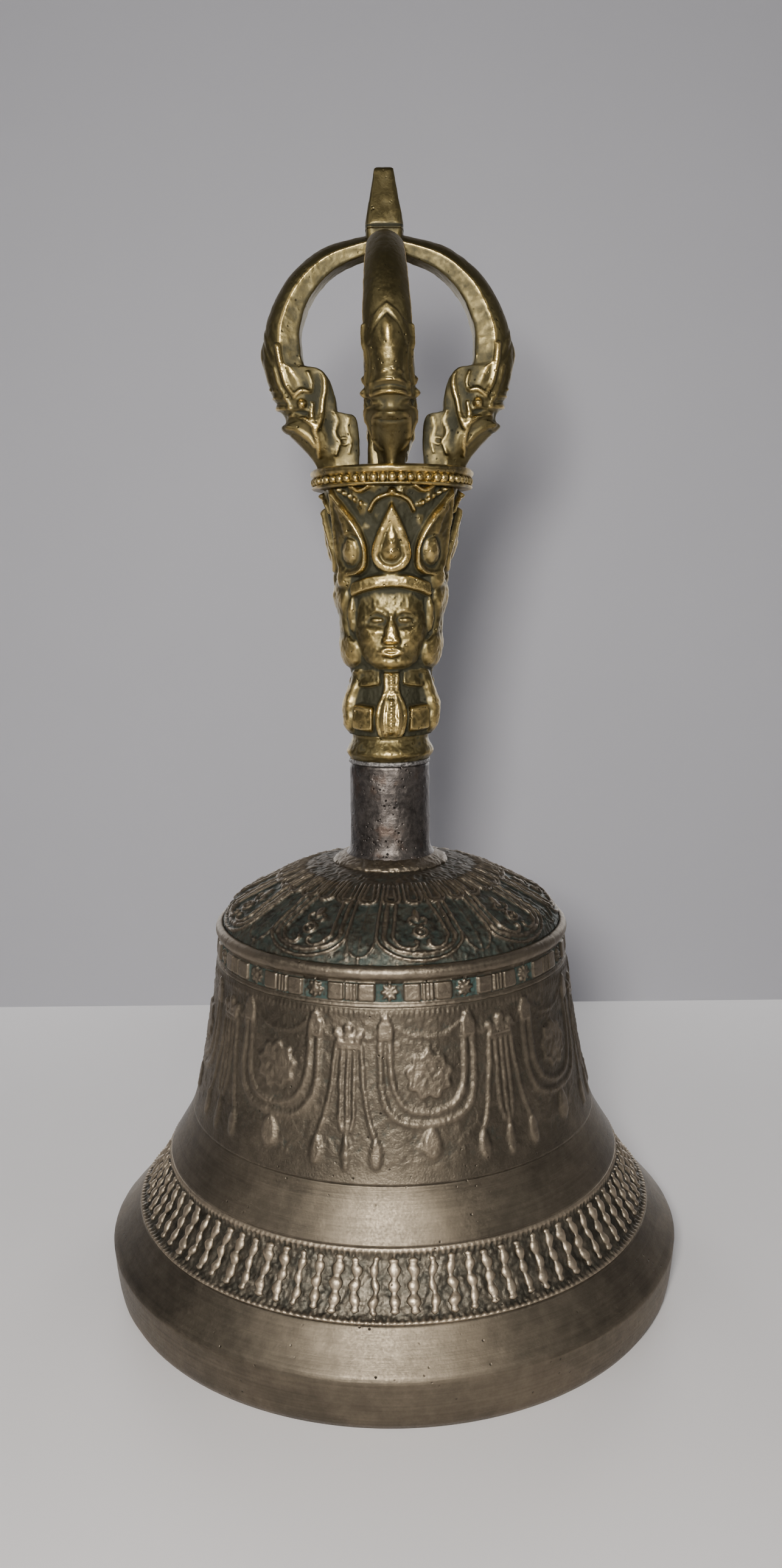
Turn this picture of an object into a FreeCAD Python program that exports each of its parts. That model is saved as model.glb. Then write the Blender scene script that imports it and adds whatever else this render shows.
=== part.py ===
"""Hand bell with a cast half-vajra handle: a flared bronze bell, a crowned bust, a
four-pronged cage round a square centre prong, and an iron clapper on a ring link.

Millimetres, +Z up. The origin is the middle of the circle that the lip stands on, the
bust faces -Y, and the nodes of the handle are stacked upwards from the bell's stem.
"""
import FreeCAD
import Part
import math
import os

V = FreeCAD.Vector
UP = V(0, 0, 1)
ALONG_X = V(1, 0, 0)
ALONG_Y = V(0, 1, 0)

# --- bell ---------------------------------------------------------------------
LIP_RADIUS = 47.0          # outer edge of the face that the bell stands on
ARRIS_RADIUS = 47.95       # widest circle, a little above the lip
ARRIS_HEIGHT = 7.7
MOUTH_RADIUS = 42.6        # inner edge of the standing face
ROLL_RADIUS = 29.2         # outside of the half-round moulding under the shoulder
ROLL_HEIGHT = 59.3
ROLL_SIZE = 1.1            # half its height
CROWN_INSIDE = 66.4        # flat ceiling that the washer bears on
CROWN_FLAT_RADIUS = 6.0
STEM_RADIUS = 6.55
STEM_FLOOR = 72.0          # floor of the socket in the stem
STEM_TOP = 86.2
SOCKET_RADIUS = 4.6
ROD_HOLE_RADIUS = 1.9
FOOT_RING_RADIUS = 7.5     # ring moulding round the foot of the stem
FOOT_RING_SIZE = 1.0
FOOT_RING_HEIGHT = 70.4

# --- handle -------------------------------------------------------------------
SEAM_TOP = 86.9            # top of the soldered seam
COLLAR_TOP = 91.0
TENON_RADIUS = 4.45        # the bust's tenon in the socket
TENON_BOTTOM = 74.0
BUST_TOP = 129.6
HEAD_MIDDLE = 107.6        # height of the middle of the face
FACE_HALF_WIDTH = 5.0
FACE_HALF_HEIGHT = 6.4
PLATE_TOP = 132.6
PLATE_RADIUS = 11.9
RIM_RADIUS = 12.3          # outside of the beaded rim
RIM_SIZE = 0.7
CENTRE_HALF = 2.95         # half the side of the square centre prong
CENTRE_SHOULDER = 168.4    # where its pyramid tip starts
TIP_HALF = 1.6
TOTAL_HEIGHT = 177.0
PEG_RADIUS = 1.8           # round peg of the centre prong in the plate
PEG_HOLE_RADIUS = 1.9
BOW_CENTRE = 1.8           # the back of a prong is an arc round this radius and height
BOW_CENTRE_HEIGHT = 150.0
BOW_RADIUS = 17.6
JAW_HEIGHT = 8.4           # height of the jaw block above the plate

# --- hanger, link and clapper --------------------------------------------------
ROD_RADIUS = 1.5
ROD_TOP = 100.0
ROD_BORE_RADIUS = 1.6
EYE_RADIUS = 3.0           # centre line of the hanger's eye
EYE_WIRE = 0.8             # radius of its wire
EYE_HEIGHT = 60.5
LINK_RADIUS = 3.2
LINK_WIRE = 0.7
CLAPPER_EYE_RADIUS = 2.6
CLAPPER_EYE_WIRE = 0.8
RING_GAP = 0.12            # play where one ring hangs in the next
WASHER_RADIUS = 5.0
WASHER_THICKNESS = 1.0
CLAPPER_ROD_RADIUS = 1.3
STRIKER_RADIUS = 6.6
STRIKER_BOTTOM = 3.4
STRIKER_TOP = 19.0
STRIKER_HOLE_DEPTH = 6.0

# Each ring hangs on the one above it, so the heights follow from the wires.
LINK_PIVOT = EYE_HEIGHT - EYE_RADIUS + EYE_WIRE + RING_GAP + LINK_WIRE
LINK_HEIGHT = LINK_PIVOT - LINK_RADIUS
CLAPPER_PIVOT = LINK_HEIGHT - LINK_RADIUS + LINK_WIRE + RING_GAP + CLAPPER_EYE_WIRE
CLAPPER_EYE_HEIGHT = CLAPPER_PIVOT - CLAPPER_EYE_RADIUS


def profile_point(radius, height):
    """A point of a turned profile, in the XZ plane."""
    return V(radius, 0, height)


def line(start, end):
    return Part.LineSegment(profile_point(*start), profile_point(*end)).toShape()


def arc(start, via, end):
    return Part.Arc(profile_point(*start), profile_point(*via), profile_point(*end)).toShape()


def curve(points):
    """A smooth curve through the given radii and heights."""
    spline = Part.BSplineCurve()
    spline.interpolate([profile_point(*point) for point in points])
    return spline.toShape()


def outline(start, steps):
    """Edges from start through steps: (end), (via, end) or a list of curve points."""
    edges = []
    here = start
    for step in steps:
        if isinstance(step, list):
            edges.append(curve([here] + step))
            here = step[-1]
        elif isinstance(step[0], tuple):
            edges.append(arc(here, step[0], step[1]))
            here = step[1]
        else:
            edges.append(line(here, step))
            here = step
    return Part.Face(Part.Wire(edges))


def turned(start, steps):
    """A solid of revolution about Z from a closed profile."""
    return outline(start, steps).revolve(V(0, 0, 0), UP, 360)


def ellipsoid(centre, half_x, half_y, half_z):
    """A ball stretched to three half axes."""
    ball = Part.makeSphere(1.0)
    scale = FreeCAD.Matrix()
    scale.scale(half_x, half_y, half_z)
    solid = ball.transformGeometry(scale)
    solid.translate(V(*centre))
    return solid


def bell_shell():
    """Bell casting: flared wall with its mouldings, domed shoulder and socketed stem."""
    wall = [(43.2, 13.3), (40.3, 17.3), (37.8, 21.8), (34.3, 28), (32.3, 35), (30.9, 42),
            (29.6, 50), (ROLL_RADIUS - 0.7, ROLL_HEIGHT - ROLL_SIZE)]
    shoulder = [(27.2, 61.9), (25.6, 63.5), (22.0, 65.5), (17.8, 67.5), (13.6, 69.0),
                (FOOT_RING_RADIUS, FOOT_RING_HEIGHT - FOOT_RING_SIZE)]
    inside = [(20.0, 64.0), (25.2, 61.6), (26.5, 56.0), (27.7, 46.5), (30.3, 33.0),
              (35.0, 21.8), (38.8, 13.4), (42.2, 5.0), (MOUTH_RADIUS, 0.0)]
    steps = [
        ((47.6, 3.5), (ARRIS_RADIUS, ARRIS_HEIGHT - 0.4)),
        ((ARRIS_RADIUS, ARRIS_HEIGHT), (ARRIS_RADIUS - 0.3, ARRIS_HEIGHT + 0.3)),
        wall,
        ((ROLL_RADIUS, ROLL_HEIGHT), (ROLL_RADIUS - 1.1, ROLL_HEIGHT + ROLL_SIZE)),
        shoulder,
        ((FOOT_RING_RADIUS + FOOT_RING_SIZE, FOOT_RING_HEIGHT),
         (FOOT_RING_RADIUS, FOOT_RING_HEIGHT + FOOT_RING_SIZE)),
        ((STEM_RADIUS + 0.2, STEM_FLOOR - 0.3), (STEM_RADIUS, STEM_FLOOR + 0.6)),
        (STEM_RADIUS, STEM_TOP),
        (SOCKET_RADIUS, STEM_TOP),
        (SOCKET_RADIUS, STEM_FLOOR),
        (ROD_HOLE_RADIUS, STEM_FLOOR),
        (ROD_HOLE_RADIUS, CROWN_INSIDE),
        (CROWN_FLAT_RADIUS, CROWN_INSIDE),
        inside,
        (LIP_RADIUS, 0.0),
    ]
    return turned((LIP_RADIUS, 0.0), steps)


def stem_solder_ring():
    """Seam of solder between the stem and the collar."""
    middle = (STEM_TOP + SEAM_TOP) / 2
    steps = [
        ((STEM_RADIUS + 0.15, middle), (STEM_RADIUS - 0.1, SEAM_TOP)),
        (SOCKET_RADIUS, SEAM_TOP),
        (SOCKET_RADIUS, STEM_TOP),
        (STEM_RADIUS, STEM_TOP),
    ]
    return turned((STEM_RADIUS, STEM_TOP), steps)


def neck_collar():
    """Turned collar under the bust, with a half-round foot and a waist."""
    steps = [
        ((7.2, SEAM_TOP + 1.0), (6.6, SEAM_TOP + 2.0)),
        ((5.9, SEAM_TOP + 3.2), (6.3, COLLAR_TOP)),
        (SOCKET_RADIUS, COLLAR_TOP),
        (SOCKET_RADIUS, SEAM_TOP),
        (6.45, SEAM_TOP),
    ]
    return turned((6.45, SEAM_TOP), steps)


def bust_head():
    """Calm, plain head: face oval, nose, long ears and the hair that hangs beside them."""
    middle = HEAD_MIDDLE
    face = ellipsoid((0, -4.6, middle), FACE_HALF_WIDTH, 3.6, FACE_HALF_HEIGHT)
    nose = ellipsoid((0, -8.1, middle - 0.6), 0.75, 0.9, 1.7)
    head = face.fuse(nose)
    for side in (-1, 1):
        ear = ellipsoid((side * 6.6, -2.6, middle - 1.2), 1.5, 1.7, 5.2)
        lock = ellipsoid((side * 6.4, -0.4, middle - 3.4), 1.8, 3.4, 3.6)
        head = head.fuse(ear)
        head = head.fuse(lock)
    return head


def bust_crown():
    """Front jewel and the two large leaves of the diadem."""
    crown = ellipsoid((0, -8.4, BUST_TOP - 8.2), 1.7, 1.5, 4.2)
    for side in (-1, 1):
        leaf = ellipsoid((0, -8.0, BUST_TOP - 7.4), 2.4, 1.5, 5.6)
        leaf.rotate(V(0, 0, BUST_TOP - 12), ALONG_Y, side * 16)
        leaf.rotate(V(0, 0, 0), UP, side * 38)
        crown = crown.fuse(leaf)
    return crown


def handle_bust():
    """Bust on a round tenon: draped chest, head, and a diadem that spreads to the plate."""
    steps = [
        (TENON_RADIUS, COLLAR_TOP),
        (6.3, COLLAR_TOP),
        [(7.5, 92.6), (7.7, 95.4), (7.0, 98.3), (6.0, 100.4)],
        [(6.2, 104.0), (6.7, 109.0), (8.4, 114.0), (8.9, 118.0), (10.2, 123.6),
         (11.4, BUST_TOP)],
        (PEG_HOLE_RADIUS, BUST_TOP),
        (PEG_HOLE_RADIUS, BUST_TOP - 4.0),
        (0.0, BUST_TOP - 4.0),
        (0.0, ROD_TOP),
        (ROD_BORE_RADIUS, ROD_TOP),
        (ROD_BORE_RADIUS, TENON_BOTTOM),
        (TENON_RADIUS, TENON_BOTTOM),
    ]
    body = turned((TENON_RADIUS, TENON_BOTTOM), steps)
    vase = ellipsoid((0, -6.9, 95.6), 1.9, 1.9, 3.4)
    return body.fuse([bust_head(), bust_crown(), vase])


def crown_plate():
    """Round plate under the cage, with the ring that carries its row of beads."""
    middle = (BUST_TOP + PLATE_TOP) / 2
    steps = [
        (PLATE_RADIUS, middle - RIM_SIZE),
        ((RIM_RADIUS, middle), (PLATE_RADIUS, middle + RIM_SIZE)),
        (PLATE_RADIUS, PLATE_TOP - 0.3),
        (PLATE_RADIUS - 0.3, PLATE_TOP),
        (PEG_HOLE_RADIUS, PLATE_TOP),
        (PEG_HOLE_RADIUS, BUST_TOP),
        (PLATE_RADIUS - 0.4, BUST_TOP),
    ]
    return turned((PLATE_RADIUS - 0.4, BUST_TOP), steps)


def prong_outline():
    """Side view of a prong: foot and jaw, snout notch, bowed back and stepped inside."""
    foot = PLATE_TOP
    notch = (16.3, foot + 7.4)
    top = BOW_CENTRE_HEIGHT + math.sqrt(BOW_RADIUS ** 2 - (CENTRE_HALF - BOW_CENTRE) ** 2)
    steps = [
        (11.6, foot),
        ((13.3, foot + 2.9), (16.2, foot + 5.7)),
        ((16.9, foot + 6.5), notch),
        ((BOW_CENTRE + BOW_RADIUS, BOW_CENTRE_HEIGHT), (CENTRE_HALF, top)),
        (CENTRE_HALF, foot + 31.7),
        ((9.6, foot + 28.1), (13.3, foot + 19.4)),
        (13.0, foot + 15.5),
        (11.6, foot + 15.2),
        ((9.2, foot + 12.9), (8.4, foot + 8.7)),
        (6.0, foot + 8.3),
        ((5.0, foot + 4.6), (5.25, foot)),
    ]
    return outline((5.25, foot), steps)


def prong_width_limits():
    """Front view of a prong: wide at the jaw, narrower where the prongs meet."""
    sides = [(3.7, 0.0), (3.7, 8.4), (3.5, 17.4), (3.1, 26.0), (2.75, 31.4), (2.6, 36.0)]
    right = [V(0, half, PLATE_TOP + height) for half, height in sides]
    left = [V(0, -half, PLATE_TOP + height) for half, height in reversed(sides)]
    corners = right + left
    face = Part.Face(Part.makePolygon(corners + corners[:1]))
    return face.extrude(V(25, 0, 0))


def prong_back_limits():
    """Wheel whose rounded edge the bowed back follows, above a block for the jaw."""
    flat = BOW_RADIUS - 2.8
    widths = [(0, -3.7), (flat, -3.7), (BOW_RADIUS, -1.2), (BOW_RADIUS, 1.2), (flat, 3.7), (0, 3.7)]
    corners = [V(across, half, 0) for across, half in widths]
    edges = []
    for index, corner in enumerate(corners):
        following = corners[(index + 1) % len(corners)]
        if index in (1, 3):
            rounding = V(BOW_RADIUS - 0.8, math.copysign(2.8, corner.y + following.y), 0)
            edges.append(Part.Arc(corner, rounding, following).toShape())
        else:
            edges.append(Part.LineSegment(corner, following).toShape())
    wheel = Part.Face(Part.Wire(edges)).revolve(V(0, 0, 0), ALONG_Y, 360)
    wheel.translate(V(BOW_CENTRE, 0, BOW_CENTRE_HEIGHT))
    return wheel.fuse(Part.makeBox(25, 10, JAW_HEIGHT, V(0, -5, PLATE_TOP)))


def prong():
    """One prong, in the plane that points along +X, with its back rounded over."""
    slab = prong_outline()
    slab.translate(V(0, -5, 0))
    solid = slab.extrude(V(0, 10, 0)).common(prong_width_limits())
    return solid.common(prong_back_limits()).Solids[0]


def turned_prong(quarter_turns):
    solid = prong()
    solid.rotate(V(0, 0, 0), UP, 90 * quarter_turns)
    return solid


def centre_prong():
    """Square centre prong with a pyramid tip and a round peg that goes through the plate."""
    side = 2 * CENTRE_HALF
    corner = V(-CENTRE_HALF, -CENTRE_HALF, PLATE_TOP)
    shaft = Part.makeBox(side, side, CENTRE_SHOULDER - PLATE_TOP, corner)
    sections = []
    for half, height in ((CENTRE_HALF, CENTRE_SHOULDER), (TIP_HALF, TOTAL_HEIGHT)):
        corners = [V(-half, -half, height), V(half, -half, height),
                   V(half, half, height), V(-half, half, height)]
        sections.append(Part.makePolygon(corners + corners[:1]))
    tip = Part.makeLoft(sections, True, True)
    peg = Part.makeCylinder(PEG_RADIUS, PLATE_TOP - BUST_TOP + 3.5, V(0, 0, BUST_TOP - 3.5))
    return shaft.fuse([tip, peg]).removeSplitter()


def ring(radius, wire, height, axis):
    """A round wire ring whose centre is on the bell's axis."""
    return Part.makeTorus(radius, wire, V(0, 0, height), axis)


def hanger_rod():
    """Iron rod through the crown, with a collar under the washer and an eye below."""
    collar_top = CROWN_INSIDE - WASHER_THICKNESS
    eye_top = EYE_HEIGHT + EYE_RADIUS
    rod = Part.makeCylinder(ROD_RADIUS, ROD_TOP - 0.5 - eye_top, V(0, 0, eye_top))
    collar = Part.makeCylinder(2.4, 0.7, V(0, 0, collar_top - 0.7))
    eye = ring(EYE_RADIUS, EYE_WIRE, EYE_HEIGHT, ALONG_X)
    return rod.fuse([collar, eye])


def hanger_washer():
    bottom = V(0, 0, CROWN_INSIDE - WASHER_THICKNESS)
    disc = Part.makeCylinder(WASHER_RADIUS, WASHER_THICKNESS, bottom)
    return disc.cut(Part.makeCylinder(ROD_BORE_RADIUS, WASHER_THICKNESS, bottom))


def pitch_packing():
    """Plug of pitch in the bottom of the socket, round the rod."""
    bottom = V(0, 0, STEM_FLOOR)
    depth = TENON_BOTTOM - STEM_FLOOR
    plug = Part.makeCylinder(SOCKET_RADIUS - 0.1, depth, bottom)
    return plug.cut(Part.makeCylinder(ROD_BORE_RADIUS, depth, bottom))


def hanger_link():
    return ring(LINK_RADIUS, LINK_WIRE, LINK_HEIGHT, ALONG_Y)


def clapper_rod():
    """Clapper rod with its eye, and the end that is driven into the striker."""
    eye = ring(CLAPPER_EYE_RADIUS, CLAPPER_EYE_WIRE, CLAPPER_EYE_HEIGHT, ALONG_X)
    top = CLAPPER_EYE_HEIGHT - CLAPPER_EYE_RADIUS
    bottom = STRIKER_TOP - STRIKER_HOLE_DEPTH + 0.2
    rod = Part.makeCylinder(CLAPPER_ROD_RADIUS, top - bottom, V(0, 0, bottom))
    return rod.fuse(eye)


def clapper_striker():
    """Pear-shaped striker with a blind hole for the rod."""
    hole = CLAPPER_ROD_RADIUS + 0.1
    floor = STRIKER_TOP - STRIKER_HOLE_DEPTH
    widest = STRIKER_BOTTOM + 6.4
    steps = [
        ((4.9, STRIKER_BOTTOM + 1.7), (STRIKER_RADIUS, widest)),
        [(5.2, widest + 4.0), (3.2, widest + 7.0), (2.3, STRIKER_TOP)],
        (hole, STRIKER_TOP),
        (hole, floor),
        (0.0, floor),
        (0.0, STRIKER_BOTTOM),
    ]
    return turned((0.0, STRIKER_BOTTOM), steps)


NODES = {
    "bell_shell": bell_shell,
    "stem_solder_ring": stem_solder_ring,
    "neck_collar": neck_collar,
    "handle_bust": handle_bust,
    "crown_plate": crown_plate,
    "prong_right": lambda: turned_prong(0),
    "prong_back": lambda: turned_prong(1),
    "prong_left": lambda: turned_prong(2),
    "prong_front": lambda: turned_prong(3),
    "centre_prong": centre_prong,
    "hanger_rod": hanger_rod,
    "hanger_washer": hanger_washer,
    "pitch_packing": pitch_packing,
    "hanger_link": hanger_link,
    "clapper_rod": clapper_rod,
    "clapper_striker": clapper_striker,
}


def main():
    os.makedirs("parts", exist_ok=True)
    for name, build in NODES.items():
        shape = build()
        if len(shape.Solids) != 1 or not shape.isValid():
            raise RuntimeError(name + " is not one valid solid")
        shape.Solids[0].exportStep("parts/" + name + ".step")
        print(name, "volume", round(shape.Volume, 1), "box", shape.BoundBox)


main()
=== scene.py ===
"""The looks of a ritual hand bell: relief, patina, bust and cage, round the CAD frame.

Lengths in this file are millimetres, apart from the stage's; MM turns them into the
metres that Blender works in. Angles of the relief are degrees round the axis, counted
from the front (-Y) towards +X. A relief attribute on each piece says how high a point
stands, from 0 in a hollow to 1 on a crest, and the metals take their wear from it. On
the prongs it also carries a painted highlight along the edge of each flat side and
painted shade on the inner part of the flats.
"""
import math
import random

import bpy
import numpy as np
from bpy.props import FloatProperty, FloatVectorProperty, IntProperty, PointerProperty
from mathutils import Matrix, Vector


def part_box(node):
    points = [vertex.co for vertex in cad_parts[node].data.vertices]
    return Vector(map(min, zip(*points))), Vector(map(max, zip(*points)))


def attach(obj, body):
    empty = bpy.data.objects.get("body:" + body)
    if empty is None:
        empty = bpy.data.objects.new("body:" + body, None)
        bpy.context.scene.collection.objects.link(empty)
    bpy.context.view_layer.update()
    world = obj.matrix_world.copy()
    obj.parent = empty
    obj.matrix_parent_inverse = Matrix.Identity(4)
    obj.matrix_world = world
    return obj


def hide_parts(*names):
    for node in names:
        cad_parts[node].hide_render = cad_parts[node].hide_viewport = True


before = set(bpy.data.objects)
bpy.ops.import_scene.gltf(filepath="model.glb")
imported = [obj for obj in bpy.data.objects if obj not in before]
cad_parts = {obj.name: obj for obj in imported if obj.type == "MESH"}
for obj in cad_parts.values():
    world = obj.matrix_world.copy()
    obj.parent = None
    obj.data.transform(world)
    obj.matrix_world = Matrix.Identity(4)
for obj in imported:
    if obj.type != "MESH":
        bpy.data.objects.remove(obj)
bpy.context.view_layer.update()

bl_info = {
    "name": "Ritual Hand Bell",
    "version": (1, 0, 0),
    "blender": (4, 5, 0),
    "location": "View3D > Sidebar > Hand Bell",
    "description": "Builds the visible pieces of a hand bell round its packed frame",
    "category": "Add Mesh",
}

MM = 0.001
FULL_TURN = 2 * math.pi


def heights(node):
    """Lowest and highest level of a CAD node, in millimetres."""
    low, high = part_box(node)
    return low[2] / MM, high[2] / MM


SEAM_BOTTOM, SEAM_TOP = heights("stem_solder_ring")
COLLAR_TOP = heights("neck_collar")[1]
PLATE_BOTTOM, PLATE_TOP = heights("crown_plate")
TOTAL_HEIGHT = heights("centre_prong")[1]
STEM_RADIUS = 6.5
SOCKET_RADIUS = 4.6

# The bell's outline, from the lip up to the foot of the stem.
LIP_ROWS = [(47.0, 0.0), (47.55, 3.5), (47.9, 7.2)]
ARRIS = (47.9, 7.7)
FLARE_ROWS = [(47.4, 8.3), (45.4, 10.5), (43.2, 13.3)]
BAND_ROWS = [(43.2, 13.3), (41.7, 15.3), (40.3, 17.3), (39.0, 19.5), (37.8, 21.8)]
WALL_ROWS = [(37.8, 21.8), (34.3, 28.0), (32.3, 35.0), (30.9, 42.0), (29.6, 50.0),
             (29.15, 54.4)]
ROLL_HEIGHT = 59.3
SHOULDER_ROWS = [(28.1, 60.4), (27.2, 61.9), (25.6, 63.5), (22.0, 65.5), (17.8, 67.5),
                 (13.6, 69.0), (9.0, 69.75)]
INSIDE_ROWS = [(42.2, 5.0), (38.8, 13.4), (35.0, 21.8), (30.3, 33.0), (27.7, 46.5),
               (26.5, 56.0), (25.2, 61.6), (20.0, 64.0), (6.0, 66.4)]
SKIN = 1.1                 # depth of the relief rings over the liner
ON_OUTLINE = 0.03          # how near a ring's outline its outside points lie


# --- sizes and colours that a user would change ---------------------------------
class BellSettings(bpy.types.PropertyGroup):
    relief_depth: FloatProperty(
        name="Relief depth", description="How far the cast relief stands out", default=1.0,
        min=0.2, max=1.6)
    shoulder_petals: IntProperty(
        name="Shoulder petals", description="Large petals round the shoulder", default=9,
        min=4, max=16)
    garlands: IntProperty(
        name="Garlands", description="Medallions with their garlands round the wall",
        default=8, min=4, max=12)
    upright_bars: IntProperty(
        name="Upright bars", description="Knotted bars in the band above the flare",
        default=90, min=24, max=120)
    metal: FloatVectorProperty(
        name="Bell metal", description="Rubbed bell metal", subtype="COLOR", size=4,
        default=(0.31, 0.255, 0.185, 1.0), min=0, max=1)
    patina: FloatVectorProperty(
        name="Patina", description="Brown skin over the bell metal", subtype="COLOR", size=4,
        default=(0.125, 0.105, 0.078, 1.0), min=0, max=1)
    verdigris: FloatVectorProperty(
        name="Verdigris", description="Green in the recesses", subtype="COLOR", size=4,
        default=(0.024, 0.055, 0.048, 1.0), min=0, max=1)


class HandleSettings(bpy.types.PropertyGroup):
    beads: IntProperty(
        name="Rim beads", description="Beads round the plate", default=54, min=24, max=80)
    brass: FloatVectorProperty(
        name="Brass", description="Brass polished by the hand", subtype="COLOR", size=4,
        default=(0.62, 0.46, 0.18, 1.0), min=0, max=1)
    tarnish: FloatVectorProperty(
        name="Tarnish", description="Old brass between the polished places",
        subtype="COLOR", size=4, default=(0.165, 0.132, 0.058, 1.0), min=0, max=1)
    recess: FloatVectorProperty(
        name="Recess", description="Black left in the hollows", subtype="COLOR", size=4,
        default=(0.036, 0.034, 0.018, 1.0), min=0, max=1)


class IronSettings(bpy.types.PropertyGroup):
    iron: FloatVectorProperty(
        name="Iron", description="Forged iron", subtype="COLOR", size=4,
        default=(0.11, 0.10, 0.09, 1.0), min=0, max=1)
    rust: FloatVectorProperty(
        name="Rust", description="Rust on the iron", subtype="COLOR", size=4,
        default=(0.16, 0.065, 0.03, 1.0), min=0, max=1)


class StageSettings(bpy.types.PropertyGroup):
    lens: FloatProperty(
        name="Lens", description="Focal length on a 36 mm sensor", default=27.4, min=15,
        max=120)
    distance: FloatProperty(
        name="Distance", description="From the bell's axis to the camera",
        default=0.1943, unit="LENGTH", min=0.1, max=2.0)
    height: FloatProperty(
        name="Height", description="Height of the camera", default=0.1153, unit="LENGTH",
        min=0, max=1)
    tilt: FloatProperty(
        name="Tilt", description="How far the camera looks down", default=0.1678,
        subtype="ANGLE", unit="ROTATION", min=-1, max=1)
    wall: FloatVectorProperty(
        name="Backdrop", description="Plain backdrop", subtype="COLOR", size=4,
        default=(0.52, 0.52, 0.56, 1.0), min=0, max=1)
    floor: FloatVectorProperty(
        name="Floor", description="Plain pale floor", subtype="COLOR", size=4,
        default=(0.72, 0.70, 0.70, 1.0), min=0, max=1)


# --- shader maths -----------------------------------------------------------------
class Wire:
    """A shader socket that takes part in ordinary arithmetic."""

    def __init__(self, finish, socket):
        self.finish = finish
        self.socket = socket

    def maths(self, operation, first, second=0.0, clamp=False):
        settings = {"operation": operation, "use_clamp": clamp}
        return self.finish.node("ShaderNodeMath", settings, {0: first, 1: second})

    def __add__(self, other):
        return self.maths("ADD", self, other)

    def __sub__(self, other):
        return self.maths("SUBTRACT", self, other)

    def __rsub__(self, other):
        return self.maths("SUBTRACT", other, self)

    def __mul__(self, other):
        return self.maths("MULTIPLY", self, other)

    __radd__ = __add__
    __rmul__ = __mul__

    def step(self, low, high):
        """A smooth 0 to 1 as the value goes from low to high."""
        settings = {"interpolation_type": "SMOOTHSTEP"}
        inputs = {"Value": self, "From Min": low, "From Max": high}
        return self.finish.node("ShaderNodeMapRange", settings, inputs)

    def clamped(self):
        return self.maths("ADD", self, 0.0, clamp=True)


class Finish:
    """One procedural material, built up node by node."""

    def __init__(self, name):
        self.material = bpy.data.materials.new(name)
        self.material.use_nodes = True
        self.tree = self.material.node_tree
        self.tree.nodes.clear()
        self.place = self.node("ShaderNodeTexCoord", output="Object")

    def node(self, kind, settings=None, inputs=None, output=0):
        node = self.tree.nodes.new(kind)
        for key, value in (settings or {}).items():
            setattr(node, key, value)
        for key, value in (inputs or {}).items():
            if isinstance(value, Wire):
                self.tree.links.new(value.socket, node.inputs[key])
            else:
                node.inputs[key].default_value = value
        return Wire(self, node.outputs[output])

    def grain(self, size, detail=3.0, roughness=0.55, stretch=None, shift=0.0):
        """Noise whose lumps are about size millimetres across."""
        place = self.place
        if stretch:
            settings = {"operation": "MULTIPLY"}
            place = self.node("ShaderNodeVectorMath", settings, {0: place, 1: stretch})
        if shift:
            settings = {"operation": "ADD"}
            place = self.node("ShaderNodeVectorMath", settings, {0: place, 1: (shift,) * 3})
        inputs = {"Vector": place, "Scale": 1 / (size * MM), "Detail": detail,
                  "Roughness": roughness}
        return self.node("ShaderNodeTexNoise", None, inputs)

    def pits(self, size, wall, patch, where):
        """Scattered holes in cells of one size, kept only in patches."""
        inputs = {"Vector": self.place, "Scale": 1 / (size * MM)}
        away = self.node("ShaderNodeTexVoronoi", None, inputs, "Distance")
        return (1 - away.step(*wall)) * self.grain(patch, 2).step(*where)

    def attribute(self, name):
        return self.node("ShaderNodeAttribute", {"attribute_name": name}, output="Fac")

    def blend(self, share, first, second):
        settings = {"data_type": "RGBA"}
        return self.node("ShaderNodeMix", settings, {0: share, 6: first, 7: second}, 2)

    def bump(self, height, distance, strength=1.0, under=None):
        inputs = {"Height": height, "Distance": distance * MM, "Strength": strength}
        if under:
            inputs["Normal"] = under
        return self.node("ShaderNodeBump", None, inputs)

    def surface(self, **sockets):
        """Ends the tree in one principled shader; names use _ for spaces."""
        inputs = {key.replace("_", " "): value for key, value in sockets.items()}
        shader = self.node("ShaderNodeBsdfPrincipled", None, inputs)
        self.node_output(shader)
        return self.material

    def node_output(self, shader):
        output = self.tree.nodes.new("ShaderNodeOutputMaterial")
        self.tree.links.new(shader.socket, output.inputs["Surface"])


# What lies in hollows and pits, and the greys of the stem and its solder.
DIRT = (0.035, 0.032, 0.026, 1)
BELL_PIT = (0.014, 0.012, 0.01, 1)
BRASS_PIT = (0.016, 0.014, 0.008, 1)
STEM_PIT = (0.016, 0.014, 0.013, 1)
STEM_DARK, STEM_PALE = (0.045, 0.04, 0.037, 1), (0.17, 0.148, 0.132, 1)
STEM_RUST = (0.11, 0.07, 0.048, 1)
SOLDER_DARK, SOLDER_PALE = (0.05, 0.048, 0.045, 1), (0.42, 0.40, 0.38, 1)
PITCH_DARK, PITCH_PALE = (0.01, 0.008, 0.006, 1), (0.03, 0.022, 0.016, 1)


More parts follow.
